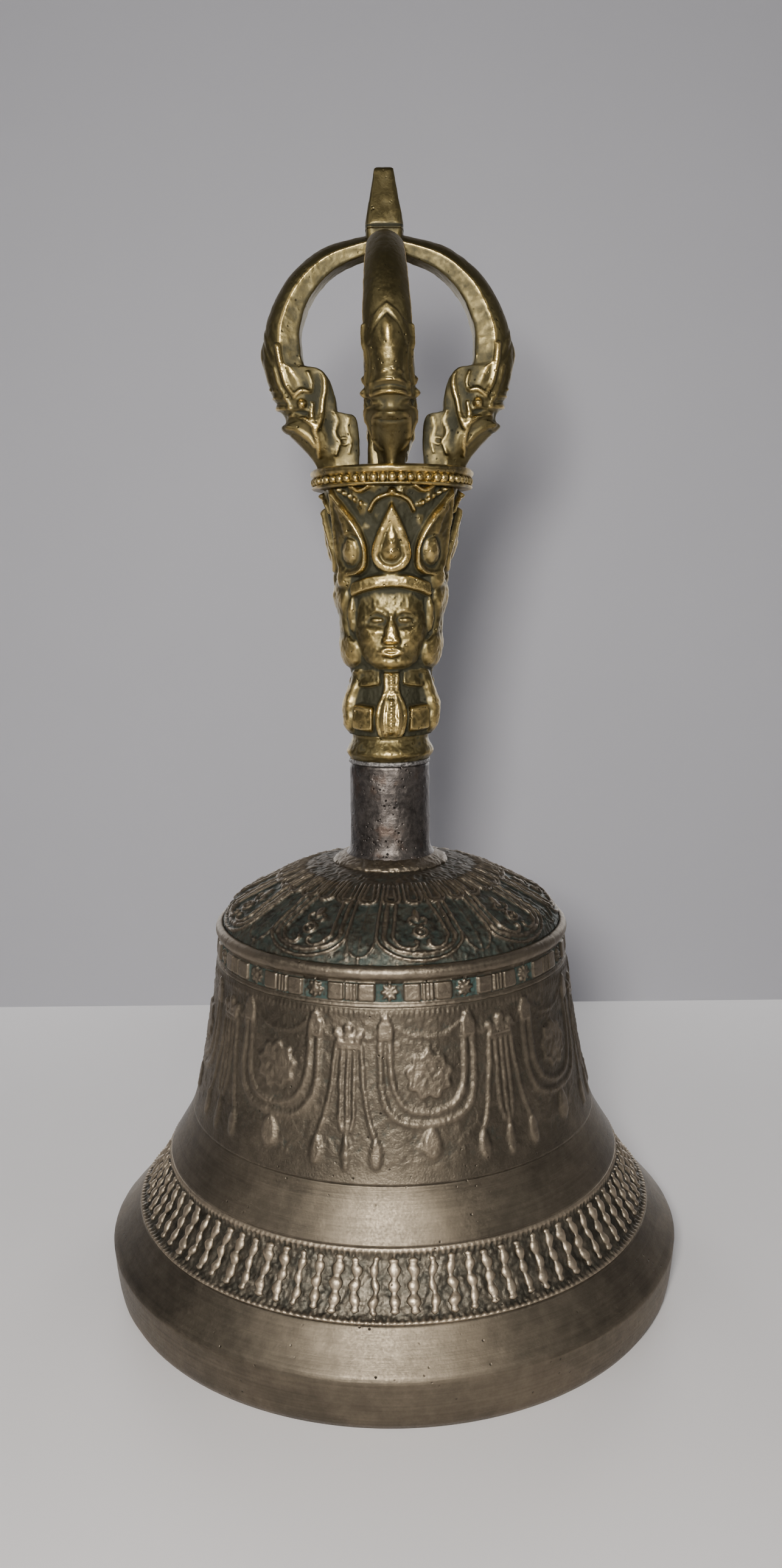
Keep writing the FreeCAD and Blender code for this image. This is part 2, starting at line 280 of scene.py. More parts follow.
def bell_finish(name, lathe, pitting, green, rub=0.5, hollows=(0.0, 0.24), tone_and_painted_light=1.0):
    """Brown bell metal: lathe lines, casting pits, rubbed high places, green hollows.

    lathe, pitting, green and rub say how strong each is; hollows is the range of the
    relief over which a hollow fades out, and the last argument scales the colours of metal
    and patina, partly as the zone's own tone and partly as painted light: painted shade on
    the turned metal and the shoulder, painted highlight on the bars and their ground.
    """
    colours = bpy.context.scene.bell_settings
    finish = Finish(name)
    relief = finish.attribute("relief")
    broad = finish.grain(16, 4, 0.6)
    mottle = finish.grain(2.2, 5, 0.65, shift=3.0)
    speck = finish.grain(0.35, 2, 0.5)
    turned = finish.grain(1.0, 3, 0.6, stretch=(0.04, 0.04, 2.6))
    scratch = finish.grain(1.0, 2, 0.5, stretch=(0.25, 0.25, 6.0), shift=1.0)
    rubbed = ((relief.step(0.3, 0.95) - 0.4) * rub + broad.step(0.3, 0.75) * 0.4
              + mottle.step(0.35, 0.75) * 0.3 + (turned - 0.5) * 0.5 * lathe + 0.05).clamped()
    metal = finish.blend(rubbed, scaled(colours.patina, tone_and_painted_light),
                         scaled(colours.metal, tone_and_painted_light))
    hollow = 1 - relief.step(*hollows)
    stain = finish.grain(7, 4, 0.65, shift=6.0).step(0.58, 0.74)
    patches = finish.grain(1.2, 4, 0.7).step(0.3, 0.6)
    growth = ((hollow * patches + stain * patches * 0.35 * (1 - relief.step(0.3, 0.7)))
              * green).clamped()
    dirt = (hollow * mottle.step(0.25, 0.65) * 0.85).clamped()
    dirtied = finish.blend(dirt, metal, DIRT)
    coloured = finish.blend(growth, dirtied, tuple(colours.verdigris))
    pits = finish.pits(1.5, (0.0, 0.16), 5, (0.5, 0.62))
    sunk = finish.blend((pits * 0.85).clamped(), coloured, BELL_PIT)
    rough = (0.5 + (speck - 0.5) * 0.3 + growth * 0.3 + (broad - 0.5) * 0.25
             - relief.step(0.6, 1.0) * 0.06)
    lines = finish.bump(turned + scratch * 0.4, 0.035 * lathe, 0.7)
    skin = finish.bump(mottle * 0.5 + speck * pitting, 0.09, 0.5, lines)
    normal = finish.bump(pits, -0.12, 0.8, skin)
    metallic = (1 - growth * 0.8).clamped()
    return finish.surface(Base_Color=sunk, Metallic=metallic, Roughness=rough.clamped(),
                          Normal=normal)


def brass_finish(name):
    """Handled brass: gold where it is rubbed and along the prongs' painted highlight, olive
    between and on the prongs' painted shade, black in the hollows.
    """
    colours = bpy.context.scene.handle_settings
    finish = Finish(name)
    relief = finish.attribute("relief")
    broad = finish.grain(9, 3, 0.6)
    mottle = finish.grain(1.1, 5, 0.7, shift=2.0)
    speck = finish.grain(0.28, 3, 0.6)
    level = relief + (mottle - 0.5) * 0.22 + (broad - 0.5) * 0.22 + (speck - 0.5) * 0.1
    olive = finish.blend(level.step(0.08, 0.36), tuple(colours.recess),
                         tuple(colours.tarnish))
    gold = finish.blend(level.step(0.46, 0.95), olive, tuple(colours.brass))
    pits = finish.pits(0.9, (0.02, 0.26), 2.6, (0.48, 0.6))
    coloured = finish.blend((pits * 0.85).clamped(), gold, BRASS_PIT)
    rough = (0.40 - level.step(0.45, 0.9) * 0.10 + (speck - 0.5) * 0.3
             + (1 - level.step(0.1, 0.4)) * 0.35)
    grit = finish.grain(0.16, 2, 0.6, shift=5.0)
    skin = finish.bump(mottle * 0.35 + speck * 0.6 + grit * 0.4, 0.055, 0.6)
    normal = finish.bump(pits, -0.12, 0.8, skin)
    metallic = 0.55 + level.step(0.15, 0.4) * 0.45
    return finish.surface(Base_Color=coloured, Metallic=metallic.clamped(),
                          Roughness=rough.clamped(), Normal=normal)


def stem_finish(name):
    """Grey-brown pitted bell metal of the stem, with rusty stains in patches."""
    finish = Finish(name)
    broad = finish.grain(6, 4, 0.65)
    mottle = finish.grain(0.9, 5, 0.7, shift=4.0)
    speck = finish.grain(0.22, 2, 0.6)
    turned = finish.grain(1.0, 2, 0.5, stretch=(0.1, 0.1, 3.0))
    tone = (broad.step(0.3, 0.75) * 0.6 + mottle.step(0.35, 0.7) * 0.5).clamped()
    grey = finish.blend(tone, STEM_DARK, STEM_PALE)
    rusty = finish.blend(finish.grain(2.4, 3, shift=9.0).step(0.55, 0.72) * 0.5, grey,
                         STEM_RUST)
    pits = finish.pits(0.8, (0.05, 0.3), 1.7, (0.42, 0.6))
    coloured = finish.blend((pits * 0.8).clamped(), rusty, STEM_PIT)
    rough = 0.46 + (speck - 0.5) * 0.3 + (mottle - 0.5) * 0.2
    skin = finish.bump(mottle + speck * 0.5 + turned * 0.4, 0.1, 0.6)
    normal = finish.bump(pits, -0.16, 0.9, skin)
    return finish.surface(Base_Color=coloured, Metallic=0.95, Roughness=rough.clamped(),
                          Normal=normal)


def solder_finish(name):
    """Dull grey solder, wrinkled where it set."""
    finish = Finish(name)
    wrinkle = finish.grain(0.7, 5, 0.7, stretch=(1, 1, 1.6))
    tone = wrinkle.step(0.3, 0.7)
    coloured = finish.blend(tone, SOLDER_DARK, SOLDER_PALE)
    normal = finish.bump(wrinkle, 0.22, 0.9)
    rough = 0.5 + (wrinkle - 0.5) * 0.3
    return finish.surface(Base_Color=coloured, Metallic=0.9, Roughness=rough.clamped(),
                          Normal=normal)


def iron_finish(name):
    """Forged iron: dark scale with rust in patches."""
    colours = bpy.context.scene.iron_settings
    finish = Finish(name)
    scale = finish.grain(2.4, 5, 0.65)
    speck = finish.grain(0.3, 3, 0.6)
    rusted = (scale + (speck - 0.5) * 0.3).step(0.45, 0.68)
    coloured = finish.blend(rusted, tuple(colours.iron), tuple(colours.rust))
    rough = 0.5 + rusted * 0.32 + (speck - 0.5) * 0.15
    normal = finish.bump(scale + speck * 0.5, 0.16, 0.8)
    metallic = (0.95 - rusted * 0.8).clamped()
    return finish.surface(Base_Color=coloured, Metallic=metallic,
                          Roughness=rough.clamped(), Normal=normal)


def pitch_finish(name):
    """Black pitch, glossy and lumpy."""
    finish = Finish(name)
    clots = finish.grain(1.5, 3)
    coloured = finish.blend(clots, PITCH_DARK, PITCH_PALE)
    return finish.surface(Base_Color=coloured, Roughness=0.35,
                          Normal=finish.bump(clots, 0.3, 0.6))


def plain_finish(name, colour, rough):
    """Painted backdrop or floor, faintly mottled, seen only from its front."""
    finish = Finish(name)
    mottle = finish.grain(40, 3)
    coloured = finish.blend(mottle, tuple(colour), scaled(colour, 0.96))
    normal = finish.bump(finish.grain(1.5, 2), 0.05, 0.2)
    paint = finish.node("ShaderNodeBsdfPrincipled", None, {
        "Base Color": coloured, "Roughness": rough, "Normal": normal})
    clear = finish.node("ShaderNodeBsdfTransparent")
    behind = finish.node("ShaderNodeNewGeometry", output="Backfacing")
    finish.node_output(finish.node("ShaderNodeMixShader", None,
                                   {0: behind, 1: paint, 2: clear}))
    return finish.material


def scaled(colour, factor):
    """A colour made darker or paler."""
    return tuple(min(1.0, value * factor) for value in tuple(colour)[:3]) + (1.0,)


# --- modelling --------------------------------------------------------------------
def nothing_selected():
    """Object mode with nothing selected, as every operator below starts."""
    if bpy.context.mode != "OBJECT":
        bpy.ops.object.mode_set(mode="OBJECT")
    bpy.ops.object.select_all(action="DESELECT")


def pick(piece):
    nothing_selected()
    piece.select_set(True)
    bpy.context.view_layer.objects.active = piece


def edit(piece):
    pick(piece)
    bpy.ops.object.mode_set(mode="EDIT")
    bpy.ops.mesh.select_all(action="SELECT")


def leave_edit():
    bpy.ops.object.mode_set(mode="OBJECT")
    return bpy.context.object


def clean(piece, gap=1e-6):
    """Merges doubles and points every face outwards."""
    edit(piece)
    bpy.ops.mesh.remove_doubles(threshold=gap)
    bpy.ops.mesh.normals_make_consistent(inside=False)
    return leave_edit()


def rolled(name, surface, relief=None):
    """A grid of faces bent to surface, (rows, columns, 3) in mm, its meeting edges merged."""
    rows, columns = surface.shape[:2]
    nothing_selected()
    bpy.ops.mesh.primitive_grid_add(x_subdivisions=columns - 1, y_subdivisions=rows - 1,
                                    size=1)
    piece = bpy.context.object
    piece.name = name
    flat = points_of(piece) * MM
    column = np.rint((flat[:, 0] + 0.5) * (columns - 1)).astype(int)
    row = np.rint((flat[:, 1] + 0.5) * (rows - 1)).astype(int)
    put_points(piece, surface[row, column])
    if relief is not None:
        put_relief(piece, relief[row, column])
    return clean(piece)


def rolled_shut(name, surface, relief, foot, cap, edge):
    """A rolled surface whose first and last rows close on the points foot and cap."""
    columns = surface.shape[1]
    ends = [np.array([[end] * columns], dtype=float) for end in (foot, cap)]
    rim = np.full((1, columns), edge)
    return rolled(name, np.vstack([ends[0], surface, ends[1]]), np.vstack([rim, relief, rim]))


def spun(name, rows, segments):
    """A closed outline of (radius, height) rows swept into a ring about the bell's axis."""
    path = np.array(rows + rows[:1])
    turn = np.linspace(0, FULL_TURN, segments + 1)
    surface = np.stack([path[:, :1] * np.cos(turn), path[:, :1] * np.sin(turn),
                        path[:, 1:] + 0 * turn], axis=2)
    return rolled(name, surface)


def flowing(points, spacing):
    """Rows about spacing apart on a smooth curve through the points."""
    path = np.array(points, dtype=float)
    before = 2 * path[0] - path[1]
    after = 2 * path[-1] - path[-2]
    path = np.vstack([before, path, after])
    rows = []
    for index in range(1, len(path) - 2):
        start, near, far, end = path[index - 1:index + 3]
        count = max(1, round(float(np.linalg.norm(far - near)) / spacing))
        for step in range(count):
            t = step / count
            rows.append(0.5 * (2 * near + (far - start) * t
                               + (2 * start - 5 * near + 4 * far - end) * t ** 2
                               + (3 * near - start - 3 * far + end) * t ** 3))
    rows.append(path[-2])
    return [tuple(float(value) for value in row) for row in rows]


def course_of(rows):
    """The rows as an array, the distance along them, and their direction at each."""
    path = np.array(rows)
    steps = np.linalg.norm(np.diff(path, axis=0), axis=1)
    slope = np.gradient(path, axis=0)
    slope /= np.linalg.norm(slope, axis=1)[:, None]
    return path, np.concatenate([[0], np.cumsum(steps)]), slope


def inset_rows(rows, depth):
    """Rows moved into the wall by depth, square to the outline."""
    path, along, slope = course_of(rows)
    inward = np.stack([-slope[:, 1], slope[:, 0]], axis=1)
    moved = path + inward * depth
    return [tuple(float(value) for value in row) for row in moved]


def ring_of(name, rows, segments, coarse=12):
    """A thin spun ring whose outside follows the rows closely and whose back is coarse."""
    back = inset_rows(rows, SKIN)
    kept = back[::coarse]
    if kept[-1] != back[-1]:
        kept.append(back[-1])
    return spun(name, rows + kept[::-1], segments)


def points_of(piece):
    """Where a piece's points are, in millimetres."""
    flat = np.empty(len(piece.data.vertices) * 3)
    piece.data.vertices.foreach_get("co", flat)
    return flat.reshape(-1, 3) / MM


def put_points(piece, points):
    piece.data.vertices.foreach_set("co", (points * MM).ravel())
    piece.data.update()


def put_relief(piece, values):
    """Stores how high each point stands, 0 in a hollow and 1 on a crest."""
    layer = piece.data.attributes.new("relief", "FLOAT", "POINT")
    layer.data.foreach_set("value", np.clip(values, 0, 1).astype(np.float32))


def emboss(piece, rows, height_at, span):
    """Raises the outside of a ring by height_at(angle, along, radius, level)."""
    points = points_of(piece)
    path, run, slope = course_of(rows)
    radius = np.hypot(points[:, 0], points[:, 1])
    level = points[:, 2]
    off_outline = np.abs(radius - np.interp(level, path[:, 1], path[:, 0]))
    outside = off_outline < ON_OUTLINE
    along = np.interp(level, path[:, 1], run)
    out = np.interp(level, path[:, 1], slope[:, 1])
    up = np.interp(level, path[:, 1], -slope[:, 0])
    angle = np.degrees(np.arctan2(points[:, 0], -points[:, 1]))
    height = np.zeros(len(points))
    height[outside] = height_at(angle[outside], along[outside], radius[outside],
                                level[outside])
    depth = bpy.context.scene.bell_settings.relief_depth
    scale = 1 + out * height * depth / np.maximum(radius, 1.0)
    points[:, 0] *= scale
    points[:, 1] *= scale
    points[:, 2] += up * height * depth
    put_points(piece, points)
    low, high = span
    put_relief(piece, np.where(outside, (height - low) / (high - low), 0.5))


def finish_piece(piece, body, slot_name, material, *nodes):
    """Shading, material, and the frame's facts about a finished piece."""
    pick(piece)
    bpy.ops.object.shade_smooth()
    piece.data.materials.clear()
    piece.data.materials.append(material)
    if "relief" not in piece.data.attributes:
        put_relief(piece, np.full(len(piece.data.vertices), 0.55))
    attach(piece, body)
    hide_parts(*nodes)


# --- drawing in relief -------------------------------------------------------------
def hump(distance, half_width):
    """1 on the line, falling smoothly to 0 at half_width."""
    share = np.clip(np.abs(distance) / half_width, 0, 1)
    return (1 - share ** 2) ** 2


def plateau(distance, edge):
    """1 inside a shape, falling smoothly to 0 outside it; distance is positive outside."""
    share = np.clip(0.5 - distance / (2 * edge), 0, 1)
    return share * share * (3 - 2 * share)


def from_line(x, y, points):
    """Distance to a run of straight pieces, and how far along it the nearest place is."""
    nearest = np.full(x.shape, 1e9)
    along = np.zeros(x.shape)
    travelled = 0.0
    for (x0, y0), (x1, y1) in zip(points, points[1:]):
        length = math.hypot(x1 - x0, y1 - y0)
        t = ((x - x0) * (x1 - x0) + (y - y0) * (y1 - y0)) / length ** 2
        t = np.clip(t, 0, 1)
        distance = np.hypot(x - x0 - t * (x1 - x0), y - y0 - t * (y1 - y0))
        closer = distance < nearest
        nearest = np.where(closer, distance, nearest)
        along = np.where(closer, travelled + t * length, along)
        travelled += length
    return nearest, along


def ripple(angle, along, size, seed):
    """A slow unevenness over the surface, about -1 to 1."""
    rng = random.Random(seed)
    total = np.zeros(angle.shape)
    for wave in range(5):
        turns = rng.randint(2 + wave * 3, 5 + wave * 5)
        phase = rng.uniform(0, FULL_TURN)
        rise = rng.uniform(-1, 1) * (wave + 1) * 2 / size
        total += np.sin(np.radians(angle) * turns + along * rise + phase) / 5
    return total


def folded(angle, centre, repeats):
    """Degrees from the middle of the nearest of the equal repeats."""
    period = 360 / repeats
    return (angle - centre + period / 2) % period - period / 2


def lumps(points, size, seed):
    """Smooth random heights, -1 to 1, whose bumps are about size across."""
    side = 32
    lattice = np.random.default_rng(seed).uniform(-1, 1, (side, side, side))
    place = points / size
    cell = np.floor(place).astype(int)
    share = place - cell
    share = share * share * (3 - 2 * share)
    total = np.zeros(len(points))
    for corner in range(8):
        offset = np.array([(corner >> axis) & 1 for axis in range(3)])
        index = (cell + offset) % side
        weight = np.prod(np.where(offset == 1, share, 1 - share), axis=1)
        total += lattice[index[:, 0], index[:, 1], index[:, 2]] * weight
    return total


def uneven(points, *layers):
    """Smooth random heights summed over layers of (depth, size, seed)."""
    return sum(depth * lumps(points, size, seed) for depth, size, seed in layers)


def on_round(angle, radius, level):
    """Places in space from angles in degrees, radii and levels."""
    turn = np.radians(np.ravel(angle))
    radius = np.ravel(radius)
    return np.stack([radius * np.sin(turn), -radius * np.cos(turn), np.ravel(level)], axis=1)


def ellipse(x, y, half_x, half_y):
    """Roughly the distance outside an upright ellipse, negative inside."""
    reach = np.sqrt((x / half_x) ** 2 + (y / half_y) ** 2) + 1e-9
    pull = np.sqrt((x / half_x ** 2) ** 2 + (y / half_y ** 2) ** 2) + 1e-9
    return (reach - 1) * reach / pull


def block(x, y, half_x, half_y, corner=0.3):
    """Distance outside a rectangle with rounded corners, negative inside."""
    across = np.abs(x) - half_x + corner
    upright = np.abs(y) - half_y + corner
    outside = np.hypot(np.maximum(across, 0), np.maximum(upright, 0))
    return outside + np.minimum(np.maximum(across, upright), 0) - corner


# --- relief of the bell -------------------------------------------------------------
GARLAND_CENTRE = 10.2      # angle of one medallion
FRIEZE_CENTRE = -0.6       # angle of one rosette
PETAL_CENTRE = 10.0        # angle of one shoulder petal
WALL_REACH = 30.3          # radius at which the garlands are drawn
MEDALLION = (0.0, 44.4)
FAN_AXIS = 11.9            # half the way round from one medallion to the next
PEARLS = 240               # small pearls over the garlands
EDGE_TICKS = 270           # ticks along each edge of the band of bars
BAND_MIDDLE = 17.4
BAND_EDGES = (13.75, 21.0)
BAR_SINK = 0.42            # how deep the bars' ground lies
FRIEZE_UNITS = 16
FRIEZE_LEVEL = 56.6
FRIEZE_REACH = 29.0        # radius at which the frieze is drawn
FRIEZE_GROUND = -0.34
PETAL_GROUND = -0.16
SCALLOPS = 32


def band_relief(angle, along, radius, level):
    """Sunk ground of the bars, with a row of fine ticks along each edge."""
    ground = plateau(block(level - BAND_MIDDLE, 0 * level, 3.75, 9.0, 0.1), 0.18)
    ticks = 0.5 + 0.5 * np.cos(np.radians(angle) * EDGE_TICKS + ripple(angle, along, 5, 8))
    height = -BAR_SINK * ground
    for edge in BAND_EDGES:
        height += 0.3 * ticks * hump(level - edge, 0.6)
    place = on_round(angle, radius, level)
    grit = uneven(place, (0.6, 0.33, 5), (0.4, 0.7, 6))
    return height + 0.26 * grit * ground


def garland_relief(angle, along, radius, level):
    """Medallions in looped cords, capitals, fans of cords and their drops."""
    repeats = bpy.context.scene.bell_settings.garlands
    wander = ripple(angle, along, 11, 3)
    turn = folded(angle + 0.4 * wander, GARLAND_CENTRE, repeats)
    x = np.abs(turn) * repeats / 8 * math.pi / 180 * WALL_REACH
    y = level + 0.18 * ripple(angle, along, 8, 4)
    place = on_round(angle, radius, level)
    grit = uneven(place, (0.6, 0.36, 11), (0.45, 0.75, 12))
    patchy = 0.6 + 0.4 * lumps(place, 4.5, 14)
    worked = plateau(np.abs(level - 42.8) - 11.2, 1.6)
    height = (0.26 * grit * patchy - 0.06) * worked

    def lay(shape):
        np.maximum(height, shape, out=height)

    cords = [
        ([(5.8, 50.4), (5.75, 46.5), (5.3, 42.8), (3.9, 40.2), (1.9, 39.1), (0, 38.8)],
         0.55, 0.36),
        ([(7.15, 49.8), (7.2, 46.0), (6.9, 42.0), (5.6, 39.0), (3.2, 37.6), (0, 37.2)],
         0.55, 0.36),
        ([(10.0, 48.8), (9.6, 44.0), (9.0, 40.0), (8.5, 37.6), (7.9, 35.8)], 0.42, 0.34),
        ([(10.95, 48.0), (10.9, 42.5), (10.9, 38.5), (11.3, 36.6)], 0.4, 0.32),
        ([(FAN_AXIS, 48.0), (FAN_AXIS, 36.0)], 0.4, 0.34),
    ]
    for path, half_width, rise in cords:
        distance, run = from_line(x, y, flowing(path, 0.5))
        beads = 0.93 + 0.07 * np.cos(run * FULL_TURN / 0.85)
        lay(rise * beads * hump(distance, half_width * 1.45) - 0.03)
    for path in ([(7.7, 51.0), (8.5, 49.9), (9.4, 49.9), (10.0, 50.7)],
                 [(5.6, 51.9), (3.4, 50.4), (1.4, 49.8), (0, 49.7)]):
        lay(0.2 * ridge(x, y, path, 0.5, 0.5))

    reach = np.hypot(x - MEDALLION[0], y - MEDALLION[1])
    around = np.arctan2(turn * np.pi / 180 * WALL_REACH, y - MEDALLION[1])
    scallop = 0.3 * np.cos(9 * around)
    lay(0.3 * plateau(reach - 2.9 - scallop, 0.4))
    lay(0.4 * hump(reach - 2.9 - scallop, 0.7))
    swirl = 0.5 + 0.5 * np.cos(6 * around + 2.1 * reach)
    lay((0.28 + 0.12 * swirl) * plateau(reach - 2.3, 0.35))
    lay(0.46 * hump(reach, 1.3))

    for centre_x, centre_y, half_x, half_y, rise in (
            (0.0, 34.7, 1.4, 2.35, 0.55), (7.7, 33.5, 0.95, 2.3, 0.5),
            (FAN_AXIS, 33.4, 0.75, 2.6, 0.45)):
        narrow = 1 - 0.22 * np.clip((y - centre_y) / half_y, -1, 1)
        shape = ellipse((x - centre_x) / narrow, y - centre_y, half_x, half_y)
        lay(rise * 0.8 * plateau(shape + 0.2, 0.45))

    capital = block(x - 6.5, y - 50.9, 1.15, 1.3, 0.5)
    lay(0.45 * plateau(capital, 0.2))
    lay(0.42 * plateau(np.hypot(x - 6.5, y - 52.5) - 0.75, 0.25))
    mask = block(x - FAN_AXIS, y - 49.4, 1.9, 1.15, 0.7)
    lay(0.5 * plateau(mask, 0.25))
    lay(0.48 * plateau(np.hypot(x - FAN_AXIS, y - 51.2) - 0.7, 0.25))
    lay(0.5 * plateau(np.hypot(x - 10.1, y - 50.4) - 0.6, 0.25))
    height -= 0.3 * hump(np.hypot(x - 11.1, y - 49.6), 0.35)
    height -= 0.25 * hump(np.abs(y - 48.75), 0.2) * plateau(mask, 0.2)

    pearls = 0.5 + 0.5 * np.cos(np.radians(angle) * PEARLS)
    lay(0.16 * pearls * hump(level - 53.45, 0.62))
    return height * 0.82 + (0.05 * lumps(place, 1.6, 13) + 0.09 * grit) * worked


def frieze_relief(angle, along, radius, level):
    """Tablets, paired strips and rosettes in a sunk band under the roll."""
    turn = folded(angle + 0.25 * ripple(angle, along, 6, 21), FRIEZE_CENTRE, FRIEZE_UNITS)
    across = np.radians(turn) * FRIEZE_REACH
    x = np.abs(across)
    y = level - FRIEZE_LEVEL
    place = on_round(angle, radius, level)
    field = plateau(np.abs(y) - 1.5, 0.12)
    height = FRIEZE_GROUND * field + 0.03 * lumps(place, 0.5, 22) * field

    def lay(shape):
        np.maximum(height, FRIEZE_GROUND + shape, out=height)

    lay(0.44 * plateau(block(x - 3.35, y, 1.25, 1.3, 0.32), 0.16))
    for strip in (5.1, 5.75):
        lay(0.42 * plateau(block(x - strip, y, 0.27, 1.3, 0.2), 0.12))
    reach = np.hypot(across, y)
    around = np.arctan2(across, y)
    flower = plateau(reach - 1.15 - 0.14 * np.cos(8 * around), 0.16)
    crumb = 0.5 + 0.5 * np.cos(8 * around)
    lay((0.24 + 0.12 * crumb) * flower)
    np.maximum(height, 0.08 * hump(reach, 0.6) - 0.4 * (reach > 0.6), out=height)
    height += 0.16 * (lumps(place, 0.35, 24) - 0.2) * plateau(reach - 1.4, 0.3)
    height -= 0.16 * hump(level - 54.85, 0.22)
    return height + uneven(place, (0.04, 1.3, 23), (0.035, 0.4, 25))


def petal_outline(x, along, half, rise):
    """How far inside a petal each place is; its rounded tip is at along = 0."""
    up = np.maximum(rise - along, 0)
    reach = np.sqrt((x / half) ** 2 + (up / rise) ** 2) + 1e-9
    pull = np.sqrt((x / half ** 2) ** 2 + (up / rise ** 2) ** 2) + 1e-9
    return (1 - reach) * reach / pull


def petal_relief(angle, along, radius, level):
    """Large double-edged petals with volutes, leaf tips between, scallops above."""
    repeats = bpy.context.scene.bell_settings.shoulder_petals
    half_turn = 180 / repeats
    place = on_round(angle, radius, level)
    wander = ripple(angle, along, 14, 31)
    turn = folded(angle + 0.7 * wander, PETAL_CENTRE, repeats)
    across = np.radians(turn) * radius
    x = np.abs(across)
    half_space = math.radians(half_turn) * radius
    rise = along - 0.35
    inside = petal_outline(x, rise, 0.775 * half_space, 4.4)

    leaf_x = half_space - x
    leaf = petal_outline(leaf_x, rise - 0.6, 0.155 * half_space + 0.9, 3.4)
    leaf_lines = 0.24 * hump(leaf - 0.15, 0.32) + 0.16 * hump(leaf_x, 0.3)
    height = PETAL_GROUND + np.where(inside < 0, leaf_lines, 0.0)

    def lay(shape):
        np.maximum(height, PETAL_GROUND + shape, out=height)

    lay(0.5 * hump(inside - 0.3, 0.36))
    lay(0.36 * plateau(np.abs(inside - 1.35) - 0.34, 0.22))
    lay(0.5 * hump(inside - 2.55, 0.42) * plateau(3.3 - rise, 0.6))
    volute = [(3.9, 3.6), (3.6, 2.85), (2.7, 2.3), (1.7, 2.15), (0.95, 2.5), (0.75, 3.2)]
    lay(0.5 * ridge(x, rise, volute, 0.42, 0.3))
    lay(0.55 * hump(np.hypot(x - 0.95, rise - 3.3), 0.5))
    boss = np.hypot(across, rise - 5.1)
    lay(0.5 * hump(boss - 0.95, 0.36))
    lay(0.55 * hump(boss, 0.6))
    crook = [(0.25, 6.6), (1.15, 6.9), (1.35, 7.7), (0.75, 8.2)]
    lay(0.42 * ridge(x, rise, crook, 0.36, 0.3))
    lay(0.4 * plateau(ellipse(x, rise - 8.6, 0.55, 1.3), 0.25))

    top = along - 11.4
    small_turn = folded(angle + 0.5 * wander, 0.0, SCALLOPS)
    small_x = np.radians(np.abs(small_turn)) * radius
    small = petal_outline(small_x, top, math.radians(5.3) * radius, 1.5)
    over = plateau(-small, 0.12)
    tile = -0.02 + 0.4 * hump(small - 0.25, 0.34) + 0.28 * hump(small - 0.95, 0.3)
    height = height * (1 - over) + tile * over
    above = plateau(16.6 - along, 0.8)
    height = height * (1 - above) + 0.02 * above
    return height * 0.92 + uneven(place, (0.12, 0.45, 33), (0.06, 1.0, 35),
                                  (0.05, 2.4, 34))


def split_rows(rows, level):
    """The rows up to a level, and those from it on; both hold the row at the split."""
    index = min(range(len(rows)), key=lambda row: abs(rows[row][1] - level))
    return rows[:index + 1], rows[index:]


def bell_lip():
    """Standing lip, arris and smooth flare, with the mouth face under them."""
    outside = ([(46.7, 0.0)] + flowing(LIP_ROWS, 0.8)[1:] + [ARRIS]
               + flowing(FLARE_ROWS, 0.4))
    back = [(42.1, 12.9), (43.6, 9.0), (43.6, 5.0), (42.2, 5.0), (42.5, 2.0), (42.6, 0.3),
            (42.9, 0.0), (44.8, 0.0)]
    piece = spun("bell_lip", outside + back, 480)
    points = points_of(piece)
    radius = np.hypot(points[:, 0], points[:, 1])
    dents = uneven(points, (0.05, 3.5, 41), (0.03, 1.2, 42))
    dents *= (points[:, 2] > 0.2) * (radius > 43.65)
    points[:, :2] *= (1 + dents / radius)[:, None]
    put_points(piece, points)
    return piece


def bell_band():
    """Sunk band that the upright bars stand in."""
    rows = flowing(BAND_ROWS, 0.26)
    piece = ring_of("bar_band_ground", rows, 1080)
    emboss(piece, rows, band_relief, (-BAR_SINK, 0.22))
    return piece


def bell_wall():
    """Plain turned wall below and the garlanded wall above it, as two rings."""
    plain, worked = split_rows(flowing(WALL_ROWS, 0.3), 29.2)
    lower = ring_of("turned_wall", plain, 480)
    upper = ring_of("garland_wall", worked, 960)
    emboss(upper, worked, garland_relief, (-0.14, 0.42))
    return lower, upper


def bell_frieze():
    """Frieze of tablets with the half-round roll above it."""
    roll = [(28.1 + 1.1 * math.cos(math.radians(turn)),
             ROLL_HEIGHT + 1.1 * math.sin(math.radians(turn))) for turn in range(-70, 91, 16)]
    rows = flowing([(29.15, 54.4), (29.05, 55.6), (28.8, 58.0)], 0.15) + roll
    piece = ring_of("frieze_and_roll", rows, 960)
    emboss(piece, rows, frieze_relief, (FRIEZE_GROUND, 0.12))
    return piece


def bell_shoulder():
    """Petalled shoulder, from the roll up to the stem's foot."""
    rows = flowing(SHOULDER_ROWS, 0.26)
    piece = ring_of("petal_shoulder", rows, 900)
    emboss(piece, rows, petal_relief, (-0.2, 0.34))
    return piece


def bell_liner():
    """Inside of the bell: the struck bow, the waist and the flat ceiling."""
    inside = flowing(INSIDE_ROWS, 1.6)
    outside = ([(43.5, 5.0), (43.3, 9.0), (42.0, 13.3)]
               + inset_rows([BAND_ROWS[2], BAND_ROWS[4]], 1.2)
               + inset_rows(WALL_ROWS[1:], 1.2) + inset_rows(SHOULDER_ROWS, 1.25))
    crown = [(1.9, 68.6), (1.9, 66.4)]
    piece = spun("bell_inside", outside + crown + inside[::-1], 240)
    return piece


def roughened(piece, least, *layers):
    """Moves the points beyond a radius in and out; returns what they were and how far."""
    points = points_of(piece)
    radius = np.hypot(points[:, 0], points[:, 1])
    rough = uneven(points, *layers) * (radius > least)
    points[:, :2] *= (1 + rough / np.maximum(radius, 1))[:, None]
    put_points(piece, points)
    return points, radius, rough


